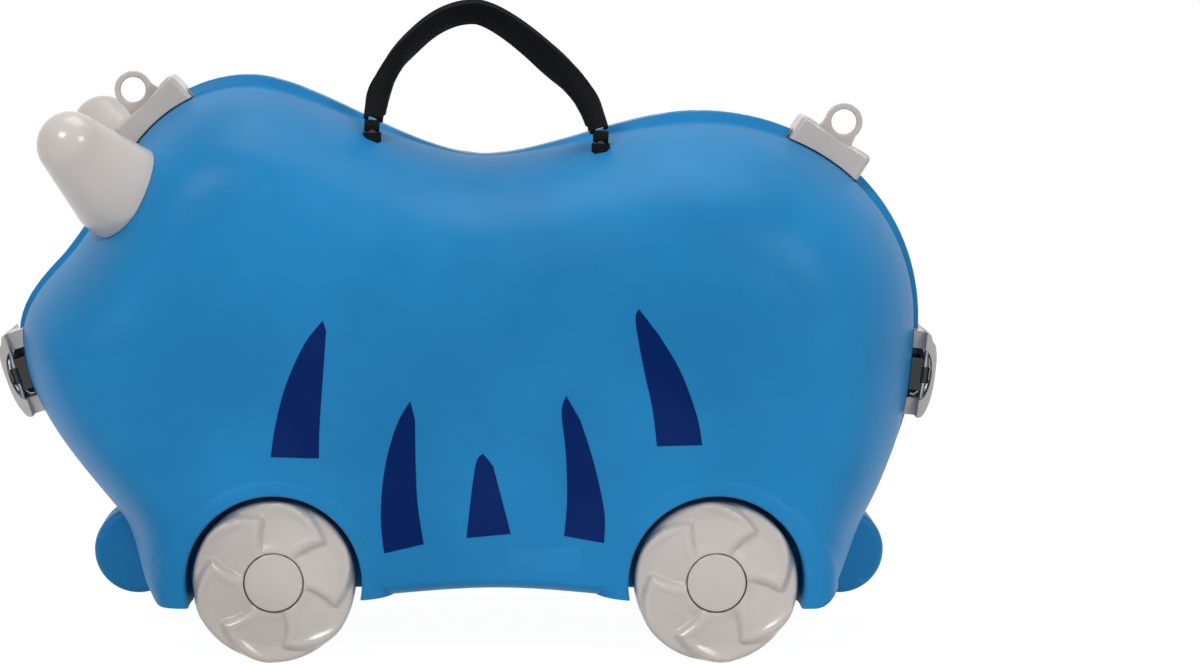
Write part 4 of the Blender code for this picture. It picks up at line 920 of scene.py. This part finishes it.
def carve_blades(bm, end):
    """Sinks the blank's face and its rim into fan blades."""
    for vert in bm.verts:
        radius = math.hypot(vert.co.x, vert.co.y)
        if radius < RECESS_R + 0.0001 or vert.co.z < WHEEL_FACE_Y - 0.012:
            continue
        high = blade_height(radius, math.atan2(vert.co.y, vert.co.x), PHASES[end])
        hub = min(1.0, max(0.0, (radius - RECESS_R) / 0.006))
        sink = BLADE_RELIEF * (1 - high) * ease(0.45, 1.0, hub)
        depth = min(1.0, (vert.co.z - WHEEL_FACE_Y + 0.012) / 0.0088)
        vert.co.z -= sink * depth
        if radius > WHEEL_R - 0.0035:
            pull = 0.0004 * (1 - high) * depth * (radius - WHEEL_R + 0.0035) / 0.0035
            vert.co.x *= 1 - pull / radius
            vert.co.y *= 1 - pull / radius


def cap_profile(reach):
    """A hub cap: a shallow dome with a rounded rim."""
    points = [(0.0, WHEEL_FACE_Y - 0.0022), (0.0095, WHEEL_FACE_Y - 0.0022),
              (0.0095, HUB_FLOOR_Y + 0.0003), (reach, HUB_FLOOR_Y + 0.0003),
              (reach, WHEEL_FACE_Y - 0.0018)]
    for i in range(1, 6):
        turn = math.pi / 2 * i / 5
        points.append((reach - 0.0010 * (1 - math.cos(turn)),
                       WHEEL_FACE_Y - 0.0018 + 0.0010 * math.sin(turn)))
    for i in range(8):
        share = 1 - (i + 1) / 8
        points.append(((reach - 0.0010) * share, WHEEL_FACE_Y - 0.0008 + 0.0010 * (1 - share ** 2)))
    return points


for end, x in WHEELS.items():
    for half, side in SIDES.items():
        frame_out = outwards(x, WHEEL_R, side)
        blank = wheel_blank(Matrix.Identity(4))
        carve_blades(blank, end)
        bmesh.ops.transform(blank, matrix=frame_out, verts=blank.verts)
        made = piece(f"wheel_{end}_{half}_moulding", blank, white_plastic)
        show(made, f"{end}_wheel_{half}", "off_white", f"wheel_{end}_{half}")
        cap = piece(f"hub_cap_{end}_{half}_dome", lathe(cap_profile(HUB_R - 0.0002), frame_out, 96),
                    white_plastic)
        show(cap, f"{end}_wheel_{half}", "off_white", f"hub_cap_{end}_{half}")

# %% [markdown]
# ## Horns
# A horn is a blunt cone that leans out of the flank. Its root spreads towards the tail of the case,
# and it is cut by the same outside as the shell, so that it sits on the curve with a fine line.

# %% Make the horns
HORN_BASE_R = 0.0240
HORN_TIP_R = 0.0162
HORN_SPREAD = 0.0060
HORN_SPREAD_WAY = Vector((1.0, 0.0, -0.25))
SHANK_LENGTH = 0.0163


def horn_solid():
    """The near horn with its root still inside the case."""
    axis = HORN_TIP - HORN_ROOT
    length = axis.length
    turn = Vector((0, 0, 1)).rotation_difference(axis).to_matrix().to_4x4()
    lean = math.asin((HORN_BASE_R - HORN_TIP_R) / length)
    profile = []
    for i in range(21):
        angle = math.pi / 2 - (math.pi / 2 - lean) * i / 20
        profile.append((HORN_TIP_R * math.cos(angle), length + HORN_TIP_R * math.sin(angle)))
    low = (HORN_BASE_R * math.cos(lean), HORN_BASE_R * math.sin(lean))
    high = profile[-1]
    for i in range(1, 21):
        profile.append((high[0] + (low[0] - high[0]) * i / 20, high[1] + (low[1] - high[1]) * i / 20))
    profile += [(HORN_BASE_R * 0.98, 0.0), (HORN_BASE_R * 0.9, -0.010), (0.0, -0.012)]
    profile[0] = (0.0, profile[0][1])
    bm = lathe(profile, Matrix.Translation(HORN_ROOT) @ turn, 120)
    along = axis.normalized()
    tailwards = (HORN_SPREAD_WAY - along * HORN_SPREAD_WAY.dot(along)).normalized()
    for vert in bm.verts:
        reach = vert.co - HORN_ROOT
        height = reach.dot(along)
        flat = reach - along * height
        share = max(0.0, 1 - max(height, 0.0) / (length * 0.92))
        side_on = max(0.0, flat.normalized().dot(tailwards)) if flat.length > 0.0001 else 0.0
        vert.co += tailwards * HORN_SPREAD * share ** 1.3 * side_on
    return bm


horn_near = piece("horn_near_moulding", horn_solid(), white_plastic)
cut(horn_near, "DIFFERENCE", piece("skin_for_horn", outside(-1, 0.0002)),
    piece("bore_for_shank", bar(SHANK_R, HORN_ROOT, HORN_ROOT + (HORN_TIP - HORN_ROOT).normalized()
                                * SHANK_LENGTH)))
horn_far = mirrored(horn_near, "horn_far_moulding")
show(horn_near, "near_half", "off_white", "horn_near")
show(horn_far, "far_half", "off_white", "horn_far")

# %% [markdown]
# ## Stripes
# Five tapered stripes are painted on each flank. Each is a film that follows the skin: its outline
# cuts a slice out of the shell's outside, grown by a tenth of a millimetre.

# %% Outlines of the stripes and the film that they are cut from
STRIPES = {
    "first": ([(-0.0690, 0.1670), (-0.0782, 0.1550), (-0.0870, 0.1352), (-0.0920, 0.1160),
               (-0.0942, 0.1012)], [(-0.0712, 0.1006), (-0.0708, 0.1160), (-0.0692, 0.1380),
                                    (-0.0674, 0.1620)]),
    "second": ([(-0.0275, 0.1285), (-0.0335, 0.1180), (-0.0385, 0.1020), (-0.0412, 0.0845),
                (-0.0416, 0.0680), (-0.0402, 0.0545)], [(-0.0212, 0.0590), (-0.0240, 0.0780),
                                                       (-0.0250, 0.0980), (-0.0252, 0.1190)]),
    "third": ([(0.0072, 0.1030), (0.0034, 0.0965), (-0.0008, 0.0620)],
              [(0.0205, 0.0640), (0.0120, 0.0970)]),
    "fourth": ([(0.0468, 0.1310), (0.0446, 0.1230), (0.0466, 0.1040), (0.0474, 0.0810),
                (0.0460, 0.0630)], [(0.0652, 0.0595), (0.0652, 0.0750), (0.0600, 0.0990),
                                    (0.0536, 0.1190)]),
    "fifth": ([(0.0812, 0.1725), (0.0796, 0.1665), (0.0836, 0.1440), (0.0878, 0.1250),
               (0.0902, 0.1065)], [(0.1118, 0.1070), (0.1092, 0.1210), (0.1012, 0.1425),
                                   (0.0908, 0.1600)])}


def curve_through(points, steps=6):
    """More points along a smooth line through the given ones."""
    line = []
    ends = [points[0]] + points + [points[-1]]
    for i in range(1, len(ends) - 2):
        before, start, end, after = (Vector(p) for p in ends[i - 1:i + 3])
        first = start + (end - before) / 6
        second = end - (after - start) / 6
        line += interpolate_bezier(start, first, second, end, steps + 1)[:-1]
    return [Vector((p.x, p.y)) for p in line] + [Vector(points[-1])]


def film(name, outline, side, material, outer, inner):
    """A thin piece of the skin inside an outline of (x, z) points."""
    bm = slab([(p.x, side * 0.070, p.y) for p in outline], (0, side * 0.035, 0))
    made = piece(name, bm, material)
    cut(made, "INTERSECT", outer)
    return cut(made, "DIFFERENCE", inner)


LABEL = [Vector(p) for p in ((0.019, 0.046), (0.054, 0.046), (0.054, 0.058), (0.019, 0.058))]
for half, side in SIDES.items():
    outer = piece("film_outside", outside(side, 0.00012))
    inner = piece("film_inside", outside(side, -0.00010))
    plain = film(f"bare_label_{half}", LABEL, side, label_film, outer, inner)
    show(plain, f"{half}_half", "blue_shell")
    for name, (left, right) in STRIPES.items():
        outline = curve_through(left) + curve_through(right)
        stripe = film(f"stripe_{name}_{half}", outline, side, stripe_paint, outer, inner)
        show(stripe, f"{half}_half", "blue_shell")

# %% [markdown]
# ## Tow clips
# A clip is a saddle block over the seam. Its top has a trough in which the ring folds to both
# sides, and its walls dip in the middle. Its underside follows the skin.

# %% Make the clips and their rings
SKIN_GAP = 0.0003
SKINS = {side: piece("skin", outside(side, SKIN_GAP)) for side in (-1, 1)}
CLIP_HALF_LENGTH = 0.0200
CLIP_HALF_WIDTH = 0.0150
CLIP_RISE = 0.0080
CLIP_ROUND = 0.0026
CLIP_SHADOW_GAP = 0.0009
TROUGH_HALF = 0.0128
DIP_R = 0.052
DIP_Z = CLIP_RISE + 0.0502
RING_PIVOT = 0.0020
RING_THICK = 0.0031
RING_CENTRE = 0.0155
RING_R = 0.0093
RING_HOLE_R = 0.0062
RING_HALF = 0.0123
CLIP_SKIN = piece("clip_skin", outside(-1, CLIP_SHADOW_GAP))


def clip_block(end):
    """The saddle block of one clip."""
    frame_here = CLIP_SEATS[end]
    groove = RING_THICK / 2 + 0.0016
    rise = CLIP_RISE + 0.002
    spread = groove + (rise - RING_PIVOT + 0.0004) * math.tan(math.radians(55))
    made = piece(f"tow_clip_{end}_block", block(
        (-CLIP_HALF_LENGTH, -CLIP_HALF_WIDTH, -0.012), (CLIP_HALF_LENGTH, CLIP_HALF_WIDTH, CLIP_RISE),
        frame_here, CLIP_ROUND, 5), white_plastic)
    trough = slab([(-TROUGH_HALF, y, z) for y, z in (
        (-groove, RING_PIVOT - groove), (groove, RING_PIVOT - groove), (groove, RING_PIVOT - 0.0004),
        (spread, rise), (-spread, rise), (-groove, RING_PIVOT - 0.0004))], (2 * TROUGH_HALF, 0, 0),
        frame_here)
    dip = bar(DIP_R, (0, -0.02, DIP_Z), (0, 0.02, DIP_Z), 160)
    bmesh.ops.transform(dip, matrix=frame_here, verts=dip.verts)
    return cut(made, "DIFFERENCE", CLIP_SKIN, SKINS[1], piece("trough", trough), piece("dip", dip))


def ring_plate(end):
    """One tow ring with its flared foot, standing up."""
    points = [(-RING_HALF, 0.0006), (RING_HALF, 0.0006), (RING_HALF, 0.0030),
              (RING_HALF - 0.0012, 0.0048), (RING_R + 0.0004, 0.0078), (RING_R - 0.0002, 0.0105)]
    for i in range(25):
        turn = math.radians(-18 + 216 * i / 24)
        points.append((RING_R * math.cos(turn), RING_CENTRE + RING_R * math.sin(turn)))
    points += [(-x, z) for x, z in reversed(points[3:6])] + [(-RING_HALF, 0.0030)]
    frame_here = CLIP_SEATS[end]
    made = piece(f"tow_ring_{end}_plate", slab(
        [(x, -RING_THICK / 2, z) for x, z in points], (0, RING_THICK, 0), frame_here, 0.0007),
        white_plastic)
    hole = lathe([(0.0, -0.004), (RING_HOLE_R + 0.0020, -0.004), (RING_HOLE_R + 0.0020, -0.00155),
                  (RING_HOLE_R + 0.0006, -0.0014), (RING_HOLE_R + 0.0001, -0.0009),
                  (RING_HOLE_R, 0.0), (RING_HOLE_R + 0.0001, 0.0009), (RING_HOLE_R + 0.0006, 0.0014),
                  (RING_HOLE_R + 0.0020, 0.00155), (RING_HOLE_R + 0.0020, 0.004), (0.0, 0.004)],
                 frame_here @ Matrix.Translation((0, 0, RING_CENTRE))
                 @ Matrix.Rotation(math.pi / 2, 4, "X"), 72)
    return cut(made, "DIFFERENCE", piece("ring_hole", hole))


for end in CLIP_SEATS:
    show(clip_block(end), "far_half", "off_white", f"tow_clip_{end}")
    show(ring_plate(end), f"tow_ring_{end}", "off_white", f"tow_ring_{end}")

# %% [markdown]
# ## Latches
# A latch is a bow over the seam with an arch through its sides. Under the arch are the plated lock
# barrel, the dark base on the near half, and the dark keeper on the far half. The case's end curves
# away under the bow's ends, so two feet reach down to the skin, and a black sheet of painted shade
# closes the arch behind the lock. Both stay off the far half, which has to swing away from under them.

# %% Make the latches, their bases and keepers
LATCH_HALF_HEIGHT = 0.0215
LATCH_PROUD = 0.0076
LATCH_HALF_WIDTH = 0.0255
LATCH_LIFT = 0.0012
LATCH_PIN = Vector((0.0, -0.0215, 0.0029))
ARCH_HALF_HEIGHT = 0.0125
ARCH_PROUD = 0.0058
FOOT_NEAR_Y, FOOT_FAR_Y = -0.0180, -0.0010
SHADE_SHEET_Y = -0.0025
SHADE_SHEET_THICK = 0.0015
UNDER_SKIN = -0.010
BARREL_R = 0.0072
BARREL_Y = 0.0100
WINDOW_HALF = 0.0088
BASE_HALF = 0.0080
KNUCKLE_R = 0.0023
KNUCKLE_HALF = Vector((0.004, 0, 0))
KEEPER_HALF = 0.0055


def latch_outline(up):
    """The bow seen from the side: distances along the case's end and out of it."""
    half, proud = LATCH_HALF_HEIGHT, LATCH_PROUD
    bow = [(half, LATCH_LIFT), (half - 0.0008, 0.0030), (half - 0.0040, 0.0044),
           (half - 0.0056, 0.0058), (half - 0.0072, proud * 0.84), (half - 0.0112, proud * 0.95),
           (0.006, proud), (-0.004, proud), (-half * 0.56, proud * 0.90), (-half * 0.84, proud * 0.67),
           (-half + 0.0006, 0.0034), (-half, LATCH_LIFT)]
    points = [(p.x, p.y) for p in curve_through(bow, 4)]
    for i in range(25):
        turn = math.pi * (1 - i / 24)
        points.append((ARCH_HALF_HEIGHT * math.cos(turn),
                       LATCH_LIFT + (ARCH_PROUD - LATCH_LIFT) * math.sin(turn)))
    return [(along * up, out) for along, out in points]


def shade_sheet_outline():
    """Outline of the black sheet that paints the shade behind the lock: the arch's room, and down to the
    skin.
    """
    half = ARCH_HALF_HEIGHT - 0.0004
    arc = [(half * math.cos(math.pi * i / 24),
            LATCH_LIFT + (ARCH_PROUD - LATCH_LIFT - 0.0003) * math.sin(math.pi * i / 24))
           for i in range(25)]
    return [(half, UNDER_SKIN)] + arc + [(-half, UNDER_SKIN)]


for end, frame_here in LATCH_SEATS.items():
    up = 1 if end == "front" else -1
    bow = piece(f"latch_{end}_bow", slab(
        [(x, -LATCH_HALF_WIDTH, z) for x, z in latch_outline(up)], (0, 2 * LATCH_HALF_WIDTH, 0),
        frame_here, 0.0010), white_plastic)
    window = block((-WINDOW_HALF, -(BARREL_Y + BARREL_R + 0.0016), LATCH_LIFT),
                   (WINDOW_HALF, -(BARREL_Y - BARREL_R - 0.0026), LATCH_PROUD * 2), frame_here)
    cut(bow, "DIFFERENCE", piece("window", window))
    for side in (-1, 1):
        low, high = sorted((side * ARCH_HALF_HEIGHT, side * (LATCH_HALF_HEIGHT - 0.0004)))
        foot = piece("foot", block((low, FOOT_NEAR_Y, -0.012), (high, FOOT_FAR_Y, 0.0030), frame_here))
        cut(foot, "DIFFERENCE", SKINS[-1])
        cut(bow, "UNION", foot)
    show(bow, f"latch_{end}", "off_white", f"latch_{end}")
    # A black sheet paints the shade in the arch's opening behind the lock.
    shade_sheet = piece(f"latch_{end}_web", slab([(x, SHADE_SHEET_Y, z) for x, z in shade_sheet_outline()], (0, SHADE_SHEET_THICK, 0),
                                         frame_here), black_plastic)
    cut(shade_sheet, "DIFFERENCE", SKINS[-1])
    show(shade_sheet, f"latch_{end}", "black_nylon")
    base = piece(f"latch_{end}_base", block(
        (-BASE_HALF, LATCH_PIN.y - 0.0012, UNDER_SKIN), (BASE_HALF, -RIM_Y, LATCH_LIFT + 0.0005),
        frame_here, 0.0005, 2), black_plastic)
    knuckle = bar(KNUCKLE_R, LATCH_PIN - KNUCKLE_HALF, LATCH_PIN + KNUCKLE_HALF)
    bmesh.ops.transform(knuckle, matrix=frame_here, verts=knuckle.verts)
    cut(base, "DIFFERENCE", SKINS[-1])
    cut(base, "UNION", piece("knuckle", knuckle))
    show(base, "near_half", "black_nylon", f"latch_base_{end}")
    keeper = piece(f"latch_{end}_keeper", block(
        (-KEEPER_HALF, 0.0165, UNDER_SKIN), (KEEPER_HALF, 0.0245, 0.0038), frame_here, 0.0008),
        black_plastic)
    cut(keeper, "DIFFERENCE", SKINS[1])
    show(keeper, "far_half", "black_nylon", f"latch_keeper_{end}")

# %% [markdown]
# ## Webbing
# Straps are strips of one width, laid along a line. A strip starts as a flat grid, whose own
# measures become its texture coordinates, so the ribs keep their real pitch when it bends. A carry
# handle stands up as a loop. It curls as it narrows, and its ends roll round the knobs in the shell.

# %% A strip laid along a line
WEBBING_WIDTH = 0.020
WEBBING_THICK = 0.0016


def strip(name, width, length, at, material, columns=16, rows=120, thick=WEBBING_THICK):
    """A strip of cloth: `at` gives the place of a point from its distances across and along."""
    bm = bmesh.new()
    layer = bm.loops.layers.uv.new("cloth")
    bmesh.ops.create_grid(bm, x_segments=columns, y_segments=rows, size=0.5)
    flat = {vert: (vert.co.x * width, (vert.co.y + 0.5) * length) for vert in bm.verts}
    for face in bm.faces:
        for corner in face.loops:
            corner[layer].uv = flat[corner.vert]
    for vert, (across, along) in flat.items():
        vert.co = at(across, along)
    made = piece(name, bm, material)
    shell = made.modifiers.new("cloth thickness", "SOLIDIFY")
    shell.thickness = thick
    shell.offset = 0.0
    shell.use_even_offset = True
    settle(made)
    return made


def lengths(line):
    """How far along a line each of its points lies."""
    walked = [0.0]
    for start, end in zip(line, line[1:]):
        walked.append(walked[-1] + (end - start).length)
    return walked


def at_length(line, walked, distance):
    """The point and the heading of a line at a distance from its start."""
    distance = min(max(distance, 0.0), walked[-1])
    index = next((i for i in range(len(line) - 1) if walked[i + 1] >= distance), len(line) - 2)
    share = (distance - walked[index]) / (walked[index + 1] - walked[index])
    before = line[max(index - 1, 0)]
    after = line[min(index + 2, len(line) - 1)]
    heading = (line[index + 1] - before).lerp(after - line[index], share)
    return line[index].lerp(line[index + 1], share), heading.normalized()


# %% The two carry handles
TWIST_FRONT = math.radians(24)
TWIST_REAR = math.radians(42)
HANDLE_TOP = Vector((0.003, -0.014, 0.310))
ROLL_R = 0.0026
ROLL_GROWTH = 0.0006
OPEN_SHARE = 0.13
CURL_SHARE = 0.30
CURL_AT_END, CURL_AT_TOP = 285, 26


def handle_line():
    """The near handle's middle line from its front knob over the top to its rear knob."""
    front, rear = HANDLE_ENDS
    lean_in = HANDLE_TOP - (front + rear) / 2
    up_front = Vector((0.16, lean_in.y / lean_in.z, 1.0)).normalized()
    up_rear = Vector((-0.18, lean_in.y / lean_in.z, 1.0)).normalized()
    ahead = Vector((1.0, 0.0, 0.0))
    first = interpolate_bezier(front, front + up_front * 0.022, HANDLE_TOP - ahead * 0.027,
                               HANDLE_TOP, 41)
    second = interpolate_bezier(HANDLE_TOP, HANDLE_TOP + ahead * 0.015, rear + up_rear * 0.022,
                                rear, 41)
    return first + second[1:]


def handle_point(line, walked, across, along):
    """A point of the near handle."""
    centre, way = at_length(line, walked, along)
    share = along / walked[-1]
    from_end = min(share, 1 - share)
    open_out = min(1.0, from_end / OPEN_SHARE)
    curl = math.radians(ease(CURL_AT_END, CURL_AT_TOP, min(1.0, from_end / CURL_SHARE)))
    flat = Vector((0.0, 1.0, 0.0))
    flat = (flat - way * flat.dot(way)).normalized()
    up = way.cross(flat)
    twist = -ease(TWIST_FRONT, TWIST_REAR, share)
    side_on = flat * math.cos(twist) + up * math.sin(twist)
    side_on = side_on.lerp(Vector((1 if share < 0.5 else -1, 0, 0)), 1 - open_out)
    side_on = (side_on - way * side_on.dot(way)).normalized()
    normal = way.cross(side_on)
    radius = WEBBING_WIDTH / curl
    turn = across / radius
    middle = radius * (1 - math.sin(curl / 2) / (curl / 2))
    return centre + side_on * radius * math.sin(turn) + normal * (
        radius * (1 - math.cos(turn)) - middle)


line = handle_line()
walked = lengths(line)
along_pivot = (HANDLE_ENDS[1] - HANDLE_ENDS[0]).normalized()
across_pivot = along_pivot.cross(Vector((0, 1, 0))).normalized()


def rolled_end(spot):
    """A wound end of the webbing round the handle's pivot."""
    def at(across, along):
        turn = along / ROLL_R
        radius = ROLL_R + ROLL_GROWTH * along / (2 * math.pi * ROLL_R)
        return spot + along_pivot * across + (
            Vector((0, 1, 0)) * math.cos(turn) + across_pivot * math.sin(turn)) * (radius - 0.0004)
    return at


TAIL_R = 0.0037
TAIL_TOP = 0.0034
TAIL_LENGTH = 0.0075
HANDLE_TRIM = 0.0036


def tail_point(spot, across, along):
    """A point of the webbing that comes out of the shell's slot, wrapped round the knob's stem."""
    turn = across / TAIL_R
    return spot + Vector((TAIL_R * 1.12 * math.cos(turn), TAIL_R * math.sin(turn), -along - TAIL_TOP))


for half, side in SIDES.items():
    loop = strip(f"handle_{half}_webbing", WEBBING_WIDTH, walked[-1] - 2 * HANDLE_TRIM,
                 lambda across, along: handle_point(line, walked, across, along + HANDLE_TRIM),
                 webbing, 20, 160)
    rolls = [strip(f"handle_{half}_roll_{end}", 0.0074, 2 * math.pi * ROLL_R, rolled_end(spot),
                   webbing, 6, 32, 0.0010) for end, spot in zip(WHEELS, HANDLE_ENDS)]
    tails = [strip(f"handle_{half}_tail_{end}", 2 * math.pi * TAIL_R * 0.99, TAIL_LENGTH,
                   lambda across, along: tail_point(spot, across, along), webbing, 32, 12, 0.0008)
             for end, spot in zip(WHEELS, HANDLE_ENDS)]
    for item in [loop] + rolls + tails:
        if side > 0:
            bm = across_seam(item)
            bm.to_mesh(item.data)
            bm.free()
        show(item, f"{half}_half" if item in tails else f"handle_{half}", "webbing",
             *([f"handle_{half}"] if item is loop else []))
print("handle webbing:", round(walked[-1] * 1000), "mm long")

# %% Packing straps inside the far half
STRAP_Y = 0.0147
BUCKLE = Vector((0.004, STRAP_Y, 0.150))
STRAP_TIPS = {"front": BUCKLE.x - 0.0235, "rear": BUCKLE.x + 0.0185}
STRAP_CORNERS = {"front": (-0.150, 0.078), "rear": (0.168, 0.078)}


def strap_arms(end):
    """The two corners of a packing strap, each with the point where it meets the buckle."""
    top = CLIP_SEATS[end] @ Vector((0, 0, -0.022))
    tip = Vector((STRAP_TIPS[end], STRAP_Y, BUCKLE.z))
    bottom = Vector((STRAP_CORNERS[end][0], STRAP_Y, STRAP_CORNERS[end][1]))
    return {"top": (Vector((top.x, STRAP_Y, top.z)), tip), "bottom": (bottom, tip)}


for end in CLIP_SEATS:
    for level, (start, tip) in strap_arms(end).items():
        way = (tip - start).normalized()
        upright = Vector((0, 1, 0)).cross(way).normalized()
        length = (tip - start).length - 0.003
        lift = -0.0009 if level == "top" else 0.0009

        def lay(across, along):
            sag = lift * ease(0.0, 1.0, along / length)
            return start + way * (along + 0.003) + upright * across + Vector((0, sag, 0))

        arm = strip(f"packing_strap_{end}_{level}", WEBBING_WIDTH, length, lay, webbing, 8, 60, 0.0012)
        show(arm, "far_half", "webbing", *([f"strap_{end}"] if level == "top" else []))

# %% [markdown]
# ## Net pocket
# A net panel with a zip lies along the hinge in the far half. It hangs a little full between its
# bound edges, and it is cut to the room inside the wall.

# %% The net, its bindings and the zip
POCKET_FRONT_X, POCKET_REAR_X = -0.128, 0.148
POCKET_TOP_Z = 0.096
POCKET_LOW_Z = 0.0300
POCKET_FULLNESS = 1.05


def pocket_point(across, along):
    """A point of the net: across runs up from the hinge, along runs to the rear."""
    share = along / (POCKET_REAR_X - POCKET_FRONT_X) / POCKET_FULLNESS
    high = across / (POCKET_TOP_Z - POCKET_LOW_Z) + 0.5
    swell = math.sin(math.pi * min(1.0, high * 0.9 + 0.1)) ** 0.7 if 0 < high < 1 else 0.0
    fold = math.sin(share * 2 * math.pi * 14 + 1.7 * math.sin(share * 31)) * 0.0009 * swell
    return Vector((POCKET_FRONT_X + share * (POCKET_REAR_X - POCKET_FRONT_X),
                   0.0222 - 0.0022 * swell + fold,
                   POCKET_LOW_Z + high * (POCKET_TOP_Z - POCKET_LOW_Z)))


panel_length = (POCKET_REAR_X - POCKET_FRONT_X) * POCKET_FULLNESS
panel = strip("pocket_net", POCKET_TOP_Z - POCKET_LOW_Z, panel_length, pocket_point, net, 30, 220,
              0.0006)
cut(panel, "INTERSECT", piece("room_for_pocket", room(1, -0.0005)))
for name, at in (
        ("pocket_hem", lambda across, along: Vector((
            POCKET_FRONT_X + along, 0.0210 + 0.0016 * math.cos(across / 0.0022) * 0.6,
            POCKET_TOP_Z - 0.0022 + 0.0018 * math.sin(across / 0.0022)))),
        ("zip_tape", lambda across, along: Vector((
            POCKET_FRONT_X + along, 0.0210 + across, POCKET_TOP_Z + 0.0002)))):
    tape = strip(name, 0.0040, POCKET_REAR_X - POCKET_FRONT_X, at, binding, 8, 60, 0.0004)
    show(tape, "far_half", "black_nylon")
show(panel, "far_half", "mesh_cloth", "pocket")

# %% [markdown]
# ## Floor, light and camera
# The studio is a plain white one. The floor and the world turn almost white for the rays that see
# them directly or in a gloss, and stay a plain level for the light that they throw.

# %% Floor that keeps a soft shadow
FLOOR_HALF = 8.0
FLOOR_GREY = (0.86, 0.86, 0.86)
FLOOR_GLOW = 1.10
FLOOR_GLOW_SHARE = 0.88
WHITE = (1.0, 1.0, 1.0)


def seen_rays(nodes):
    """A factor that is 1 for camera, glossy and transmission rays."""
    total = nodes.add("ShaderNodeLightPath", out="Is Camera Ray")
    path = total.socket.node
    for name in ("Is Glossy Ray", "Is Transmission Ray"):
        total = total.math("MAXIMUM", Value(nodes, path.outputs[name]))
    return total


bm = bmesh.new()
bmesh.ops.create_grid(bm, x_segments=1, y_segments=1, size=FLOOR_HALF)
floor_finish = bpy.data.materials.new("studio_floor")
floor_finish.use_nodes = True
floor_finish.node_tree.nodes.clear()
nodes = Nodes(floor_finish.node_tree)
paper = nodes.add("ShaderNodeBsdfDiffuse", None, {"Color": FLOOR_GREY})
glow = nodes.add("ShaderNodeEmission", None, {"Color": WHITE, "Strength": FLOOR_GLOW})
mixed = nodes.add("ShaderNodeMixShader", None, (seen_rays(nodes) * FLOOR_GLOW_SHARE, paper, glow))
nodes.add("ShaderNodeOutputMaterial", None, {"Surface": mixed})
floor = piece("studio_floor", bm, floor_finish)
print("floor:", 2 * FLOOR_HALF, "m wide")

# %% Sky of the studio
SKY_LEVEL = 0.29
world = bpy.data.worlds.new("studio")
bpy.context.scene.world = world
world.use_nodes = True
world.node_tree.nodes.clear()
nodes = Nodes(world.node_tree)
soft, white = (nodes.add("ShaderNodeBackground", None, {"Color": WHITE, "Strength": strength})
               for strength in (SKY_LEVEL, 1.0))
mixed = nodes.add("ShaderNodeMixShader", None, (seen_rays(nodes), soft, white))
nodes.add("ShaderNodeOutputWorld", None, {"Surface": mixed})
print("sky level for the light:", SKY_LEVEL)

# %% Lamps and camera
LAMPS = {"key": ((-0.95, -1.55, 1.55), 18, 0.7), "fill": ((1.15, -1.40, 1.05), 9, 0.6),
         "top": ((0.1, 0.15, 1.8), 10, 1.2)}
CAMERA_PLACE = (0.0, -1.70, 0.3534)
CAMERA_DOWN = math.radians(6.83)
FOCAL_LENGTH = 102
AIM = Vector((0, 0, 0.15))
for name, (place_at, watts, size) in LAMPS.items():
    lamp = bpy.data.lights.new(f"{name}_softbox", "AREA")
    lamp.shape = "RECTANGLE"
    lamp.energy = watts
    lamp.size = size
    lamp.size_y = size * 0.8
    holder = bpy.data.objects.new(f"{name}_softbox", lamp)
    holder.location = place_at
    holder.rotation_euler = (AIM - Vector(place_at)).to_track_quat("-Z", "Y").to_euler()
    bpy.context.scene.collection.objects.link(holder)

lens = bpy.data.cameras.new("camera")
lens.lens = FOCAL_LENGTH
lens.sensor_width = 36
lens.shift_x = 0.11
lens.clip_start = 0.01
camera = bpy.data.objects.new("camera", lens)
camera.location = CAMERA_PLACE
camera.rotation_euler = (math.pi / 2 - CAMERA_DOWN, 0.0, 0.0)
bpy.context.scene.collection.objects.link(camera)
bpy.context.scene.camera = camera
bpy.context.scene.view_settings.view_transform = "Standard"
print("lamps:", ", ".join(LAMPS), "and a lens of", FOCAL_LENGTH, "mm")

# %% Clear the tools
for tool in list(tools.objects):
    bpy.data.objects.remove(tool)
bpy.context.view_layer.update()
